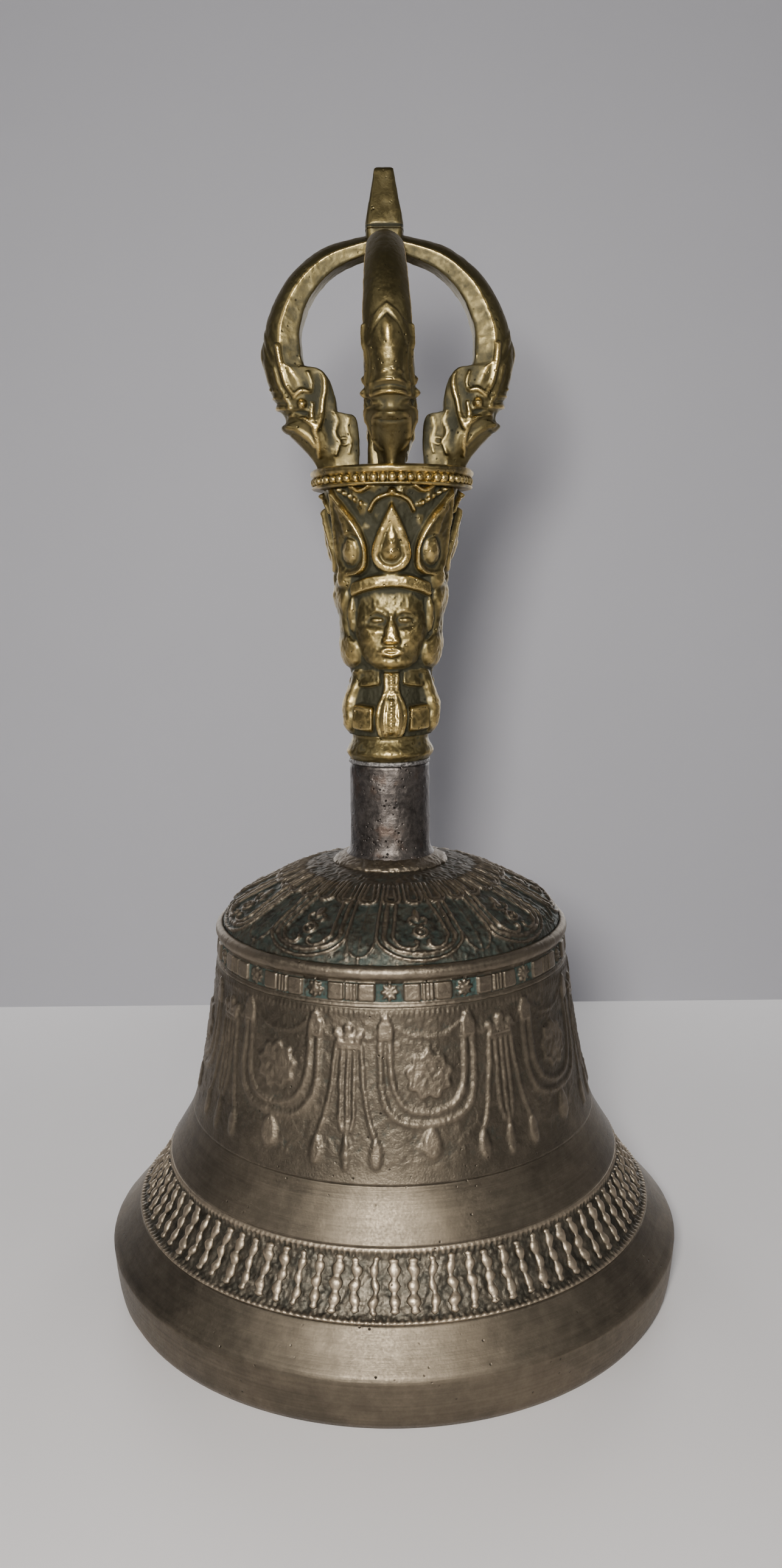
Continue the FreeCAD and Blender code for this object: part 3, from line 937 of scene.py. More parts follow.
def bell_stem():
    """Fillet and socketed stem, rough from the mould."""
    fillet = [(7.4, 71.0), (6.9, 71.6), (6.65, 72.2), (6.55, 72.9)]
    shaft = flowing([(6.52, 73.4), (STEM_RADIUS, SEAM_BOTTOM - 0.25)], 0.35)
    top = [(6.3, SEAM_BOTTOM), (SOCKET_RADIUS, SEAM_BOTTOM), (SOCKET_RADIUS, 72.0),
           (1.9, 72.0), (1.9, 69.2), (7.6, 69.2)]
    piece = spun("bell_stem", fillet + shaft + top, 240)
    rough = roughened(piece, 6.0, (0.07, 1.6, 51), (0.05, 0.45, 52))[2]
    put_relief(piece, 0.5 + rough * 2.5)
    return piece


def stem_foot():
    """Flat granular ring where the stem meets the shoulder."""
    rows = [(9.35, 69.4), (9.45, 69.85), (9.2, 70.25), (8.8, 70.5), (8.3, 70.7),
            (7.8, 70.95), (7.3, 71.15), (6.9, 71.2), (6.9, 69.4)]
    piece = spun("stem_foot", rows[:1] + flowing(rows[1:8], 0.16) + rows[8:], 360)
    rough = roughened(piece, 7.1, (0.14, 0.45, 53), (0.1, 1.0, 54))[2]
    put_relief(piece, 0.75 + rough * 2)
    return piece


def one_bar():
    """One upright bar: a knotted stalk that swells and narrows along its length."""
    profile = [(-3.75, 0.16), (-3.45, 0.46), (-2.9, 0.34), (-2.3, 0.56), (-1.6, 0.5),
               (-0.95, 0.3), (-0.45, 0.52), (0.0, 0.6), (0.45, 0.5), (0.95, 0.3),
               (1.6, 0.5), (2.3, 0.58), (2.9, 0.34), (3.45, 0.48), (3.75, 0.16)]
    rows = np.array([(-3.85, 0.0)] + flowing(profile, 0.32) + [(3.85, 0.0)])
    turn = np.linspace(0, FULL_TURN, 13)
    surface = np.stack([rows[:, 1:] * np.cos(turn), rows[:, 1:] * np.sin(turn),
                        rows[:, :1] + 0 * turn], axis=2)
    return rolled("upright_bar", surface)


def copy_of(model):
    """A copy with its own mesh, in the scene."""
    copy = model.copy()
    copy.data = model.data.copy()
    bpy.context.collection.objects.link(copy)
    return copy


def joined(parts, name):
    """Joins pieces into the first one and applies where they stand."""
    nothing_selected()
    for part in parts:
        part.select_set(True)
    bpy.context.view_layer.objects.active = parts[0]
    bpy.ops.object.transform_apply(location=True, rotation=True, scale=True)
    bpy.ops.object.join()
    piece = bpy.context.object
    piece.name = name
    piece.data.name = name
    return piece


def bell_bars():
    """The band's upright bars, each a little different, laid on the sunk ground."""
    count = bpy.context.scene.bell_settings.upright_bars
    model = one_bar()
    flat = points_of(model)
    rows, along, slope = course_of(flowing(BAND_ROWS, 0.4))
    rng = random.Random(7)
    copies = []
    for index in range(count):
        copy = copy_of(model)
        side = rng.choice((-1, 1))
        width = rng.uniform(1.15, 1.65)
        lean = rng.uniform(-0.05, 0.05)
        bend = rng.uniform(0.05, 0.2)
        shift = rng.uniform(0, FULL_TURN)
        worn = 1 + 0.3 * lumps(flat + index * 3.7, 1.1, 44)
        across = (flat[:, 0] * width * side * worn + lean * flat[:, 2]
                  + bend * np.sin(flat[:, 2] * 1.5 + shift))
        place = along[-1] / 2 + flat[:, 2] * side * rng.uniform(0.97, 1.06)
        radius = np.interp(place, along, rows[:, 0])
        level = np.interp(place, along, rows[:, 1])
        out = np.interp(place, along, slope[:, 1])
        up = np.interp(place, along, -slope[:, 0])
        stand = -BAR_SINK - flat[:, 1] * 0.9 * worn
        turn = FULL_TURN * index / count + across / radius
        reach = radius + out * stand
        bent = np.stack([reach * np.sin(turn), -reach * np.cos(turn), level + up * stand],
                        axis=1)
        put_points(copy, bent)
        height = np.clip(0.3 - flat[:, 1] * 1.3, 0, 1)
        put_relief(copy, height)
        copies.append(copy)
    bpy.data.objects.remove(model)
    return clean(joined(copies, "upright_bars"), 1e-7)


# --- handle ---------------------------------------------------------------------------
# Half-width of the handle's outline at each level, from the neck up to the plate.
HANDLE_OUTLINE = [(91.0, 6.3), (91.8, 7.0), (92.6, 7.5), (94.4, 7.75), (96.3, 7.7),
                  (98.3, 7.1), (100.3, 6.5), (101.4, 6.6), (102.2, 7.4), (104.2, 8.0),
                  (106.2, 8.2), (108.2, 8.1), (110.1, 8.2), (112.0, 8.75), (114.0, 8.95),
                  (116.0, 9.1), (118.0, 9.1), (119.8, 9.5), (121.7, 10.05), (123.6, 10.4),
                  (125.5, 10.95), (127.4, 11.6), (129.6, 12.1)]
# Half-width of the head at each level, from chin to brow band.
HEAD_OUTLINE = [(100.9, 0.6), (101.3, 2.3), (101.9, 3.4), (102.8, 4.35), (104.0, 5.1),
                (106.0, 5.7), (108.5, 5.95), (112.0, 5.95), (117.0, 5.7)]


def averaged(field, reach, mode):
    """The field averaged down its columns over reach cells each way."""
    padded = np.pad(field, ((reach, reach), (0, 0)), mode=mode)
    total = np.cumsum(np.pad(padded, ((1, 0), (0, 0))), axis=0)
    width = 2 * reach + 1
    return (total[width:] - total[:-width]) / width


def softened(field, reach):
    """The field averaged over reach cells each way; its columns go right round."""
    for times in range(2):
        field = averaged(averaged(field, reach, "edge").T, reach, "wrap").T
    return field


def raise_to(field, other, blend=0.12):
    """The higher of two heights, with the corner between them softened."""
    gap = np.clip(0.5 + 0.5 * (field - other) / blend, 0, 1)
    return other + (field - other) * gap + blend * gap * (1 - gap)


def ridge(x, y, points, half_width, spacing=0.35):
    """A rounded ridge of height 1 along a smooth line through the points."""
    return hump(from_line(x, y, flowing(points, spacing))[0], half_width)


def teardrop(x, y, bottom, top, half_width):
    """Distance inside a drop that is round at the bottom and pointed at the top."""
    centre = bottom + half_width
    round_part = half_width - np.hypot(x, y - centre)
    share = np.clip((y - centre) / (top - centre), 0, 1)
    width = half_width * (1 - share ** 1.45)
    upper = (width - np.abs(x)) * 0.85
    return np.where(y < centre, round_part, np.minimum(upper, top - y))


def within(x, y, points):
    """Distance inside a closed outline, negative outside it."""
    outline = points + points[:1]
    distance = from_line(x, y, outline)[0]
    inside = np.zeros(x.shape, dtype=bool)
    for (x0, y0), (x1, y1) in zip(outline, outline[1:]):
        if y0 == y1:
            continue
        spans = (y0 > y) != (y1 > y)
        inside ^= spans & (x < (x1 - x0) * (y - y0) / (y1 - y0) + x0)
    return np.where(inside, distance, -distance)


def calm_face(x, level, height):
    """A face by the usual rule of thirds: brow, nose and mouth laid on a smooth oval."""
    chin, hairline = 101.6, 114.8
    third = (hairline - chin) / 3
    nose_base = chin + third
    brow = chin + 2 * third
    mouth = nose_base - third / 3
    eye_level = brow - 0.95
    away = np.abs(x)
    socket = ellipse(away - 2.25, level - eye_level, 1.75, 1.2)
    height -= 0.5 * plateau(socket, 0.7)
    lid = ellipse(away - 2.3, level - eye_level + 0.05 + 0.03 * (away - 2.3) ** 2, 1.3, 0.58)
    height += 0.5 * plateau(lid + 0.1, 0.34)
    slit = ridge(away, level, [(1.15, eye_level - 0.25), (2.3, eye_level - 0.52),
                               (3.5, eye_level - 0.15)], 0.24)
    height -= 0.24 * slit
    arch = ridge(away, level, [(0.75, brow - 0.5), (1.6, brow + 0.25), (2.7, brow + 0.35),
                               (4.1, brow - 0.7)], 0.42)
    height += 0.22 * arch
    down = np.clip((brow + 0.3 - level) / (brow + 0.3 - nose_base), 0, 1)
    nose_width = 0.5 + 0.62 * down ** 1.6
    nose = plateau(away - nose_width, 0.5) * plateau(nose_base - 0.1 - level, 0.32)
    height += (0.28 + 0.95 * down) * nose * plateau(level - brow - 0.3, 0.7)
    wing = np.hypot((away - 0.95) / 0.52, (level - nose_base - 0.4) / 0.5)
    height = raise_to(height, height + 0.4 * hump(wing, 1.0), 0.05)
    cheek = ellipse(away - 3.0, level - nose_base - 0.7, 2.0, 2.0)
    height += 0.3 * plateau(cheek + 0.6, 1.5)
    muzzle = ellipse(x, level - mouth, 2.4, 1.7)
    height += 0.4 * plateau(muzzle + 0.5, 1.0)
    upper_lip = ridge(away, level, [(0.0, mouth + 0.36), (0.5, mouth + 0.48),
                                    (1.75, mouth + 0.05)], 0.42)
    lower_lip = ridge(away, level, [(0.0, mouth - 0.5), (1.3, mouth - 0.15)], 0.52)
    height += 0.42 * upper_lip + 0.42 * lower_lip
    height -= 0.34 * ridge(away, level, [(0.0, mouth), (1.85, mouth + 0.14)], 0.17)
    height -= 0.22 * ridge(away, level, [(0.0, mouth - 1.15), (1.0, mouth - 1.0)], 0.5)
    height += 0.35 * hump(np.hypot(x / 1.5, (level - chin - 0.85) / 1.0), 1.0)
    return height


def crown_relief(turn, level, reach):
    """Jewels and tilted leaves of the crown; heights over the hollows between them."""
    fold = np.abs((turn + 180) % 360 - 180)
    fold = np.where(fold > 90, 180 - fold, fold)
    x = reach * np.sin(np.radians(fold))
    across = reach * np.sin(np.radians(np.minimum(fold, 90 - fold)))
    height = (0.3 * plateau(119 - level, 3.0)
              + 0.45 * lumps(on_round(turn, reach, level), 1.6, 64).reshape(turn.shape))

    leaf_edge = [(9.9, 129.6), (8.2, 127.6), (6.5, 125.6), (5.2, 123.8), (4.05, 121.5),
                 (3.6, 119.3), (3.95, 117.3), (5.2, 116.2), (6.9, 116.1), (8.3, 117.0),
                 (8.95, 119.5), (9.3, 123.0), (9.7, 126.5)]
    leaf = within(x, level, flowing(leaf_edge + leaf_edge[:1], 0.5)[:-1])

    def lay(shape):
        height[:] = raise_to(height, shape, 0.2)

    lay(1.3 * plateau(-leaf - 0.1, 0.35) + 0.3 * plateau(2.6 - leaf, 1.2))
    lay(1.95 * hump(leaf - 0.45, 0.75) * plateau(x - 8.4, 0.8))
    lay(1.6 * hump(leaf - 0.4, 0.55))
    ring = ellipse(x - 6.4, level - 119.9, 1.55, 2.3)
    height -= 0.42 * hump(ring, 0.5)
    boss = np.hypot((x - 6.4) / 1.45, (level - 119.9) / 2.15)
    height += 0.5 * hump(boss, 1.0)
    height += 0.25 * ridge(x, level, [(6.6, 121.8), (7.3, 124.0), (8.5, 126.6)], 0.6)

    drop = teardrop(across, level, 116.5, 127.0, 3.15)
    lay(1.75 * plateau(-drop - 0.05, 0.35) - 0.5 * plateau(1.25 - drop, 0.3))
    inner = teardrop(across, level, 118.3, 125.0, 1.7)
    lay(1.2 + 0.8 * np.sqrt(np.clip(inner, 0, 1.2) / 1.2) - 3 * (inner < -0.05))
    for bead, size in ((121.0, 0.85), (119.6, 0.75)):
        height += 0.4 * hump(np.hypot(across, level - bead), size)

    arch = [(3.6, 126.0), (2.7, 127.4), (1.3, 128.1), (0, 128.3)]
    lay(1.25 * ridge(across, level, arch, 0.6))
    lay(1.7 * hump(np.hypot(across, level - 128.7), 1.0))
    beads = 0.7 + 0.3 * np.cos((x - 4) * FULL_TURN / 0.95)
    lay(1.3 * beads * ridge(x, level, [(8.7, 129.2), (6.4, 127.9), (4.4, 126.8)], 0.6))
    lay(1.2 * ridge(x, level, [(6.9, 129.8), (5.2, 128.9), (3.6, 129.6)], 0.6))
    return height


def chest_relief(x, turn, level, lift):
    """Joined hands as a ribbed vase, lapels and sleeves; lift is the full thickness."""
    away = np.abs(x)
    height = np.zeros(x.shape)
    upper = block(away - 3.7, level - 100.4 + 0.16 * (away - 3.7), 1.9, 1.45, 0.4)
    height = raise_to(height, 0.62 * lift * plateau(upper, 0.35), 0.2)
    height -= 0.12 * plateau(upper + 0.6, 0.25)
    lower = block(away - 4.6, level - 93.9 - 0.08 * (away - 4.6), 1.75, 2.1, 0.5)
    height = raise_to(height, 0.82 * lift * plateau(lower, 0.35), 0.2)
    height -= 0.14 * plateau(lower + 0.6, 0.25)
    edge = np.interp(level, [91, 92.5, 95, 97, 99, 101.5], [5.8, 6.2, 6.35, 6.1, 5.4, 4.7])
    sleeve = np.where(np.cos(np.radians(turn)) > 0, edge - away, -1.0)
    height = raise_to(height, lift * plateau(sleeve, 0.45), 0.25)
    height += 0.22 * hump(sleeve + 0.75, 0.4) - 0.2 * hump(sleeve + 1.35, 0.35)
    neck = plateau(away - 1.3 - 0.3 * np.clip(98.8 - level, 0, 2.5), 0.35)
    height = raise_to(height, 1.7 * neck * plateau(np.abs(level - 98.9) - 2.6, 0.3), 0.2)
    round_x, round_y = away / 3.05, (level - 94.3) / 4.1
    belly = np.clip(1 - round_x ** 2 - round_y ** 2, 0, 1)
    height = raise_to(height, 2.7 * np.sqrt(belly), 0.25)
    shape = np.sqrt(np.clip(1 - round_y ** 2, 0.04, 1))
    ribs = 0
    for place in (0.4, 0.82):
        ribs = ribs + hump(away - place * 2.75 * shape, 0.45)
    height += 0.3 * ribs * plateau(-belly + 0.06, 0.05)
    beads = 0.55 + 0.45 * np.cos((level - 93) * FULL_TURN / 0.95)
    column = hump(x, 0.5) * plateau(np.abs(level - 96.3) - 4.6, 0.3)
    return height + 0.45 * beads * column


def back_relief(turn, level, lift):
    """Hair combed down the back of the head, and folds of the shawl under it."""
    rear = np.abs((turn % 360) - 180)
    waves = np.radians(rear) * 26 + 0.6 * np.sin(level * 0.7 + rear * 0.02)
    strand = 0.5 + 0.5 * np.cos(waves)
    tier = 0.5 + 0.5 * np.cos(level * FULL_TURN / 4.4)
    hair = lift * (0.86 + 0.14 * strand + 0.05 * tier)
    folds = lift * (0.85 + 0.15 * (0.5 + 0.5 * np.cos(level * 1.5 + rear * 0.045)))
    over = plateau(99.6 - level, 0.3)
    return hair * over + folds * (1 - over) + 0.3 * hump(level - 99.5, 0.6)


BUST_SPREAD = 1.035        # the bust's width over the drawn outline's
BUST_ROW = 0.168           # height of one row of the bust's grid
BUST_COLUMNS = 421


def handle_bust():
    """The bust between collar and plate: a head, its crown and its folded hands."""
    rows = int(round((PLATE_BOTTOM - COLLAR_TOP) / BUST_ROW)) + 1
    level, turn = np.meshgrid(np.linspace(COLLAR_TOP, PLATE_BOTTOM, rows),
                              np.linspace(-180, 180, BUST_COLUMNS), indexing="ij")
    outline = np.array(flowing(HANDLE_OUTLINE, 0.4))
    wide = np.interp(level, outline[:, 0], outline[:, 1]) * BUST_SPREAD
    sine, cosine = np.sin(np.radians(turn)), np.cos(np.radians(turn))
    core = np.interp(level, [91, 92, 96, 101, 103, 112, 116, 119, 129.6],
                     [6.1, 6.0, 5.7, 5.5, 6.3, 6.9, 7.4, 7.7, 10.3])
    lift = wide - core
    reach = core + 0.75 * lift
    x = reach * sine
    away = np.abs(x)
    ahead = plateau(-cosine, 0.12)
    spots = on_round(turn.ravel(), wide.ravel(), level.ravel())
    rough = uneven(spots, (0.07, 0.5, 61), (0.09, 1.3, 62), (0.07, 3.0, 63))
    rough = rough.reshape(x.shape)

    # Chest in front, hair and shawl behind.
    chest = chest_relief(x, turn, level, lift)
    radius = core + np.maximum(chest, 0) * plateau(level - 101.7, 0.5) * ahead
    back = back_relief(turn, level, lift) * (1 - plateau(-cosine - 0.05, 0.15))
    radius = raise_to(radius, core + back * plateau(level - 116.5, 0.4), 0.2)

    # Ear lobes and side hair.
    fold = np.abs(turn)
    for place, half, middle, tall in ((77, 36, 104.6, 3.7), (76, 33, 111.0, 5.6)):
        lobe = np.hypot((fold - place) / half, (level - middle) / tall)
        dome = np.clip(1 - lobe ** 3.4, 0, 1) ** 0.42
        radius = raise_to(radius, core + lift * dome, 0.2)
    radius -= 0.5 * ridge(away, level, [(6.75, 114.2), (6.95, 111.0), (6.75, 107.9),
                                        (6.2, 106.6)], 0.42) * ahead
    radius += 0.25 * ridge(away, level, [(6.1, 113.6), (6.2, 110.5), (6.05, 107.4)],
                           0.45) * ahead
    for place, middle, tall in ((60, 115.9, 2.3), (82, 113.2, 2.5), (103, 116.0, 2.3)):
        curl = np.hypot((fold - place) / 14, (level - middle) / tall)
        radius = raise_to(radius, wide + 0.1 - 1.2 * np.clip(curl, 0, 2) ** 2.5, 0.15)

    # Head and face.
    head = 1.07 * np.interp(level, [row[0] for row in HEAD_OUTLINE],
                            [row[1] for row in HEAD_OUTLINE])
    depth = np.interp(level, [100.9, 101.3, 101.9, 103, 105, 108, 112, 116],
                      [4.5, 6.3, 7.1, 7.7, 7.95, 8.05, 8.0, 7.8])
    oval = ((np.abs(sine) / head) ** 2.6 + (np.abs(cosine) / depth) ** 2.6) ** (-1 / 2.6)
    oval = np.where(cosine > 0, oval, 0)
    face = calm_face(oval * sine, level, np.zeros(x.shape))
    oval = oval + face * plateau(0.35 - cosine, 0.2)
    radius = raise_to(radius, oval * plateau(level - 116.5, 0.4), 0.1)

    # Band over the brow.
    band = level - 115.55 + 1.6 * (away / 6.6) ** 2
    on_band = plateau(np.abs(band) - 1.2, 0.35) * plateau(away - 6.5, 0.4) * ahead
    radius = raise_to(radius, core + (8.95 - core + 0.1 * hump(band, 1.0)) * on_band, 0.15)

    # Crown.
    base = np.interp(level, [115.5, 117.0, 129.6], [7.2, 7.6, 10.3])
    crown = base + crown_relief(turn, level, base + 1.3)
    radius = raise_to(radius, crown * plateau(116.1 - level, 0.25), 0.15)
    radius = -raise_to(-radius, -np.where(cosine < 0.75, wide + 0.25, wide + 1.2), 0.3)

    radius = averaged(averaged(radius, 1, "edge").T, 1, "wrap").T + rough
    near = softened(radius, 4)
    far = softened(radius, 11)
    sunk = np.clip((radius - core) / np.maximum(lift, 0.8), 0, 1.2)
    relief = 0.24 + 0.34 * sunk + 1.1 * (radius - near) + 0.55 * (near - far)
    surface = np.stack([radius * sine, -radius * cosine, level], axis=2)
    return rolled_shut("handle_bust_carved", surface, relief, (0, 0, COLLAR_TOP),
                       (0, 0, PLATE_BOTTOM), 0.4)


# How far the handle's casting stands to the right of the stem's axis at each level.
LEAN = [(87, 0.05), (95, 0.4), (115, 0.5), (131, 0.8), (140, 0.7), (155, 0.2), (168, 0.0)]


def leaning(piece):
    """The handle's casting stands a little out of true with the stem."""
    points = points_of(piece)
    levels, shifts = zip(*LEAN)
    points[:, 0] += np.interp(points[:, 2], levels, shifts)
    put_points(piece, points)
    return piece


def seam_ring():
    """The grey line of solder between stem and handle."""
    middle = (SEAM_BOTTOM + SEAM_TOP) / 2
    half = (SEAM_TOP - SEAM_BOTTOM) / 2
    rows = [(SOCKET_RADIUS + 0.1, middle - half)]
    for turn in range(-80, 81, 20):
        rows.append((6.42 + 0.2 * math.cos(math.radians(turn)),
                     middle + half * math.sin(math.radians(turn))))
    rows.append((SOCKET_RADIUS + 0.1, middle + half))
    piece = spun("seam_ring", rows, 240)
    roughened(piece, 6, (0.1, 0.8, 71), (0.07, 0.3, 72))
    return piece


def collar():
    """Swelling collar that grips the stem under the bust."""
    rows = flowing([(6.35, SEAM_TOP), (6.75, 87.35), (7.05, 87.85), (7.1, 88.3),
                    (6.85, 88.9), (6.4, 89.7), (6.15, 90.4), (6.3, COLLAR_TOP)], 0.15)
    piece = spun("collar", rows + [(1.0, COLLAR_TOP), (1.0, SEAM_TOP)], 300)
    points, radius, rough = roughened(piece, 4, (0.09, 2.2, 73), (0.05, 0.6, 74),
                                      (0.03, 0.3, 75))
    put_relief(piece, 0.42 + rough * 3 + 0.2 * hump(points[:, 2] - 88.1, 0.8))
    return piece


PLATE_SPREAD = 1.05        # the plate's width over its drawn outline's
BEAD_RADIUS = 0.66
BEAD_CIRCLE = 11.66        # radius of the circle of beads, before the spread


def plate():
    """Round plate over the bust, with a groove for the row of beads between smooth edges."""
    low, high = PLATE_BOTTOM, PLATE_TOP
    rows = ([(11.4, low), (11.95, low + 0.05), (12.1, low + 0.25), (11.95, low + 0.45),
             (11.6, low + 0.6), (11.5, low + 1.1), (11.6, low + 1.65), (11.95, low + 1.85)]
            + flowing([(12.05, low + 2.0), (12.2, low + 2.3), (12.15, low + 2.7),
                       (11.8, high)], 0.15)
            + [(8.0, high + 0.02), (1.0, high), (1.0, low)])
    piece = spun("crown_plate_turned",
                 [(radius * PLATE_SPREAD, level) for radius, level in rows], 360)
    points, radius, rough = roughened(piece, 10, (0.08, 2.5, 76), (0.05, 0.7, 77))
    points[:, 2] += (0.1 * lumps(points, 1.3, 78) * (radius < 11.9) * (radius > 2)
                     * (points[:, 2] > high - 0.4))
    put_points(piece, points)
    edge = np.clip((radius - 11.5) / 0.8, 0, 1)
    put_relief(piece, 0.22 + 0.5 * edge + rough * 3)
    return piece


def plate_beads():
    """Beads round the plate, each cast a little differently."""
    count = bpy.context.scene.handle_settings.beads
    rng = random.Random(19)
    beads = []
    nothing_selected()
    bpy.ops.mesh.primitive_uv_sphere_add(segments=14, ring_count=9, radius=BEAD_RADIUS * MM)
    model = bpy.context.object
    flat = points_of(model)
    for index in range(count):
        bead = copy_of(model)
        turn = FULL_TURN * (index + rng.uniform(-0.08, 0.08)) / count
        size = rng.uniform(0.84, 1.08)
        tall = rng.uniform(0.95, 1.25)
        reach = BEAD_CIRCLE * PLATE_SPREAD + flat[:, 1] * size + rng.uniform(-0.08, 0.05)
        across = flat[:, 0] * size
        place = np.stack([across * math.cos(turn) + reach * math.sin(turn),
                          across * math.sin(turn) - reach * math.cos(turn),
                          PLATE_BOTTOM + 1.08 + flat[:, 2] * size * tall], axis=1)
        put_points(bead, place)
        put_relief(bead, 0.45 + 0.75 * flat[:, 1])
        beads.append(bead)
    bpy.data.objects.remove(model)
    return clean(joined(beads, "plate_beads"), 1e-7)


def centre_prong():
    """Square middle prong with eased corners, a joint line and a tapered point."""
    rows = [(PLATE_TOP - 0.3, 3.0), (150.0, 2.75), (166.8, 2.8), (167.9, 2.92),
            (168.3, 2.9), (168.42, 2.78), (168.55, 2.88), (169.4, 2.82), (173.0, 2.15),
            (176.4, 1.55), (176.85, 1.45), (TOTAL_HEIGHT, 1.25)]
    levels = np.array(flowing(rows, 0.3))
    turn = np.linspace(0, FULL_TURN, 121)
    squareness = 7.0
    reach = (np.abs(np.cos(turn)) ** squareness
             + np.abs(np.sin(turn)) ** squareness) ** (-1 / squareness)
    surface = np.stack([levels[:, 1:] * reach * np.cos(turn),
                        levels[:, 1:] * reach * np.sin(turn),
                        levels[:, :1] + 0 * turn], axis=2)
    spots = surface.reshape(-1, 3)
    rough = uneven(spots, (0.06, 1.2, 81), (0.05, 3.5, 82), (0.03, 0.4, 83))
    rough = rough.reshape(surface.shape[:2])
    surface[:, :, :2] *= (1 + rough / 3)[:, :, None]
    relief = (0.34 + 0.9 * np.clip(reach - 1.1, 0, 1) + 2 * rough
              - 0.4 * hump(levels[:, :1] - 168.4, 0.4))
    return rolled_shut("centre_prong_square", surface, relief, (0, 0, levels[0, 0]),
                       (0, 0, levels[-1, 0] + 0.02), 0.5)


# Inner edge, outer edge, and half-widths outside and inside, up the prong:
# (inner r, inner z, outer r, outer z, outer half-width, inner half-width).
PRONG_ROWS = [
    (5.25, 132.2, 11.5, 132.2, 1.9, 2.3), (5.1, 134.0, 12.2, 134.0, 2.1, 2.4),
    (5.0, 135.7, 13.4, 135.4, 2.8, 2.5), (5.05, 137.6, 15.2, 137.2, 3.3, 2.7),
    (5.15, 139.3, 17.0, 138.7, 3.75, 2.9), (5.4, 140.4, 17.3, 139.45, 3.8, 3.0),
    (6.1, 140.95, 16.8, 140.1, 3.65, 3.1), (7.6, 141.2, 16.9, 140.9, 3.65, 3.3),
    (8.3, 141.6, 17.3, 141.8, 3.75, 3.5), (8.45, 143.5, 17.95, 143.5, 3.8, 3.7),
    (9.2, 146.0, 18.65, 145.8, 3.75, 3.7), (10.6, 147.65, 19.0, 147.5, 3.7, 3.7),
    (12.2, 148.0, 19.2, 148.5, 3.65, 3.65), (13.05, 148.4, 19.27, 149.4, 3.65, 3.65),
    (13.4, 150.8, 19.25, 151.4, 3.6, 3.6), (13.25, 154.0, 18.35, 155.7, 3.45, 3.45),
    (11.5, 158.4, 15.0, 161.5, 3.15, 3.15), (7.96, 162.1, 9.74, 165.6, 2.85, 2.85),
    (3.3, 164.2, 2.95, 167.45, 2.65, 2.65), (1.2, 164.5, 1.0, 167.6, 2.5, 2.5)]
# Ridges on the flat of the creature's head: (points, half-width, height).
HEAD_RIDGES = [
    ([(16.9, 151.0), (16.6, 148.6), (15.9, 145.6), (14.6, 143.5)], 0.6, 0.42),
    ([(17.7, 148.0), (17.1, 145.5), (16.0, 143.2), (15.5, 142.0)], 0.5, 0.34),
    ([(13.2, 149.4), (11.6, 148.8), (10.2, 147.2), (9.9, 145.0), (10.4, 142.6),
      (10.8, 140.2), (11.5, 138.7)], 0.7, 0.42),
    ([(12.4, 147.0), (11.9, 145.6), (12.1, 144.2)], 0.5, 0.3),
    ([(12.0, 142.4), (12.15, 140.8), (12.0, 139.2), (11.4, 137.0), (11.3, 134.8)], 0.6, 0.4),
    ([(12.5, 144.2), (13.5, 144.4), (14.5, 143.7)], 0.6, 0.45),
    ([(16.4, 140.6), (14.7, 140.9), (13.3, 140.2), (12.2, 139.4)], 0.55, 0.42),
    ([(16.2, 139.0), (14.6, 138.5), (13.0, 137.6), (11.8, 136.4)], 0.7, 0.4),
    ([(8.7, 141.2), (8.2, 139.8), (8.7, 138.2), (8.1, 136.6), (8.6, 135.0)], 0.45, 0.24),
    ([(6.5, 140.4), (6.8, 138.6), (6.2, 137.0), (6.6, 135.2)], 0.4, 0.2)]


def prong_section():
    """Half of a prong's section: (depth 0 to 1 from the inside, half-width 0 to 1)."""
    half = [(0.0, 0.0), (0.0, 0.4), (0.0, 0.7), (0.02, 0.79), (0.07, 0.84), (0.14, 0.86),
            (0.3, 0.91), (0.46, 0.965), (0.53, 0.99)]
    start = math.radians(36)
    for index in range(1, 13):
        turn = start + (math.pi / 2 - start) * index / 12
        half.append((0.55 + 0.45 * (math.sin(turn) - math.sin(start)) / (1 - math.sin(start)),
                     math.cos(turn) / math.cos(start) * 0.985))
    dense = np.array(half)
    run = np.concatenate([[0], np.cumsum(np.hypot(np.diff(dense[:, 0]) * 1.5,
                                                  np.diff(dense[:, 1])))])
    even = np.linspace(0, run[-1], 61)
    half = np.stack([np.interp(even, run, dense[:, 0]), np.interp(even, run, dense[:, 1])],
                    axis=1)
    other = half[::-1][1:] * [1, -1]
    return np.vstack([half, other])


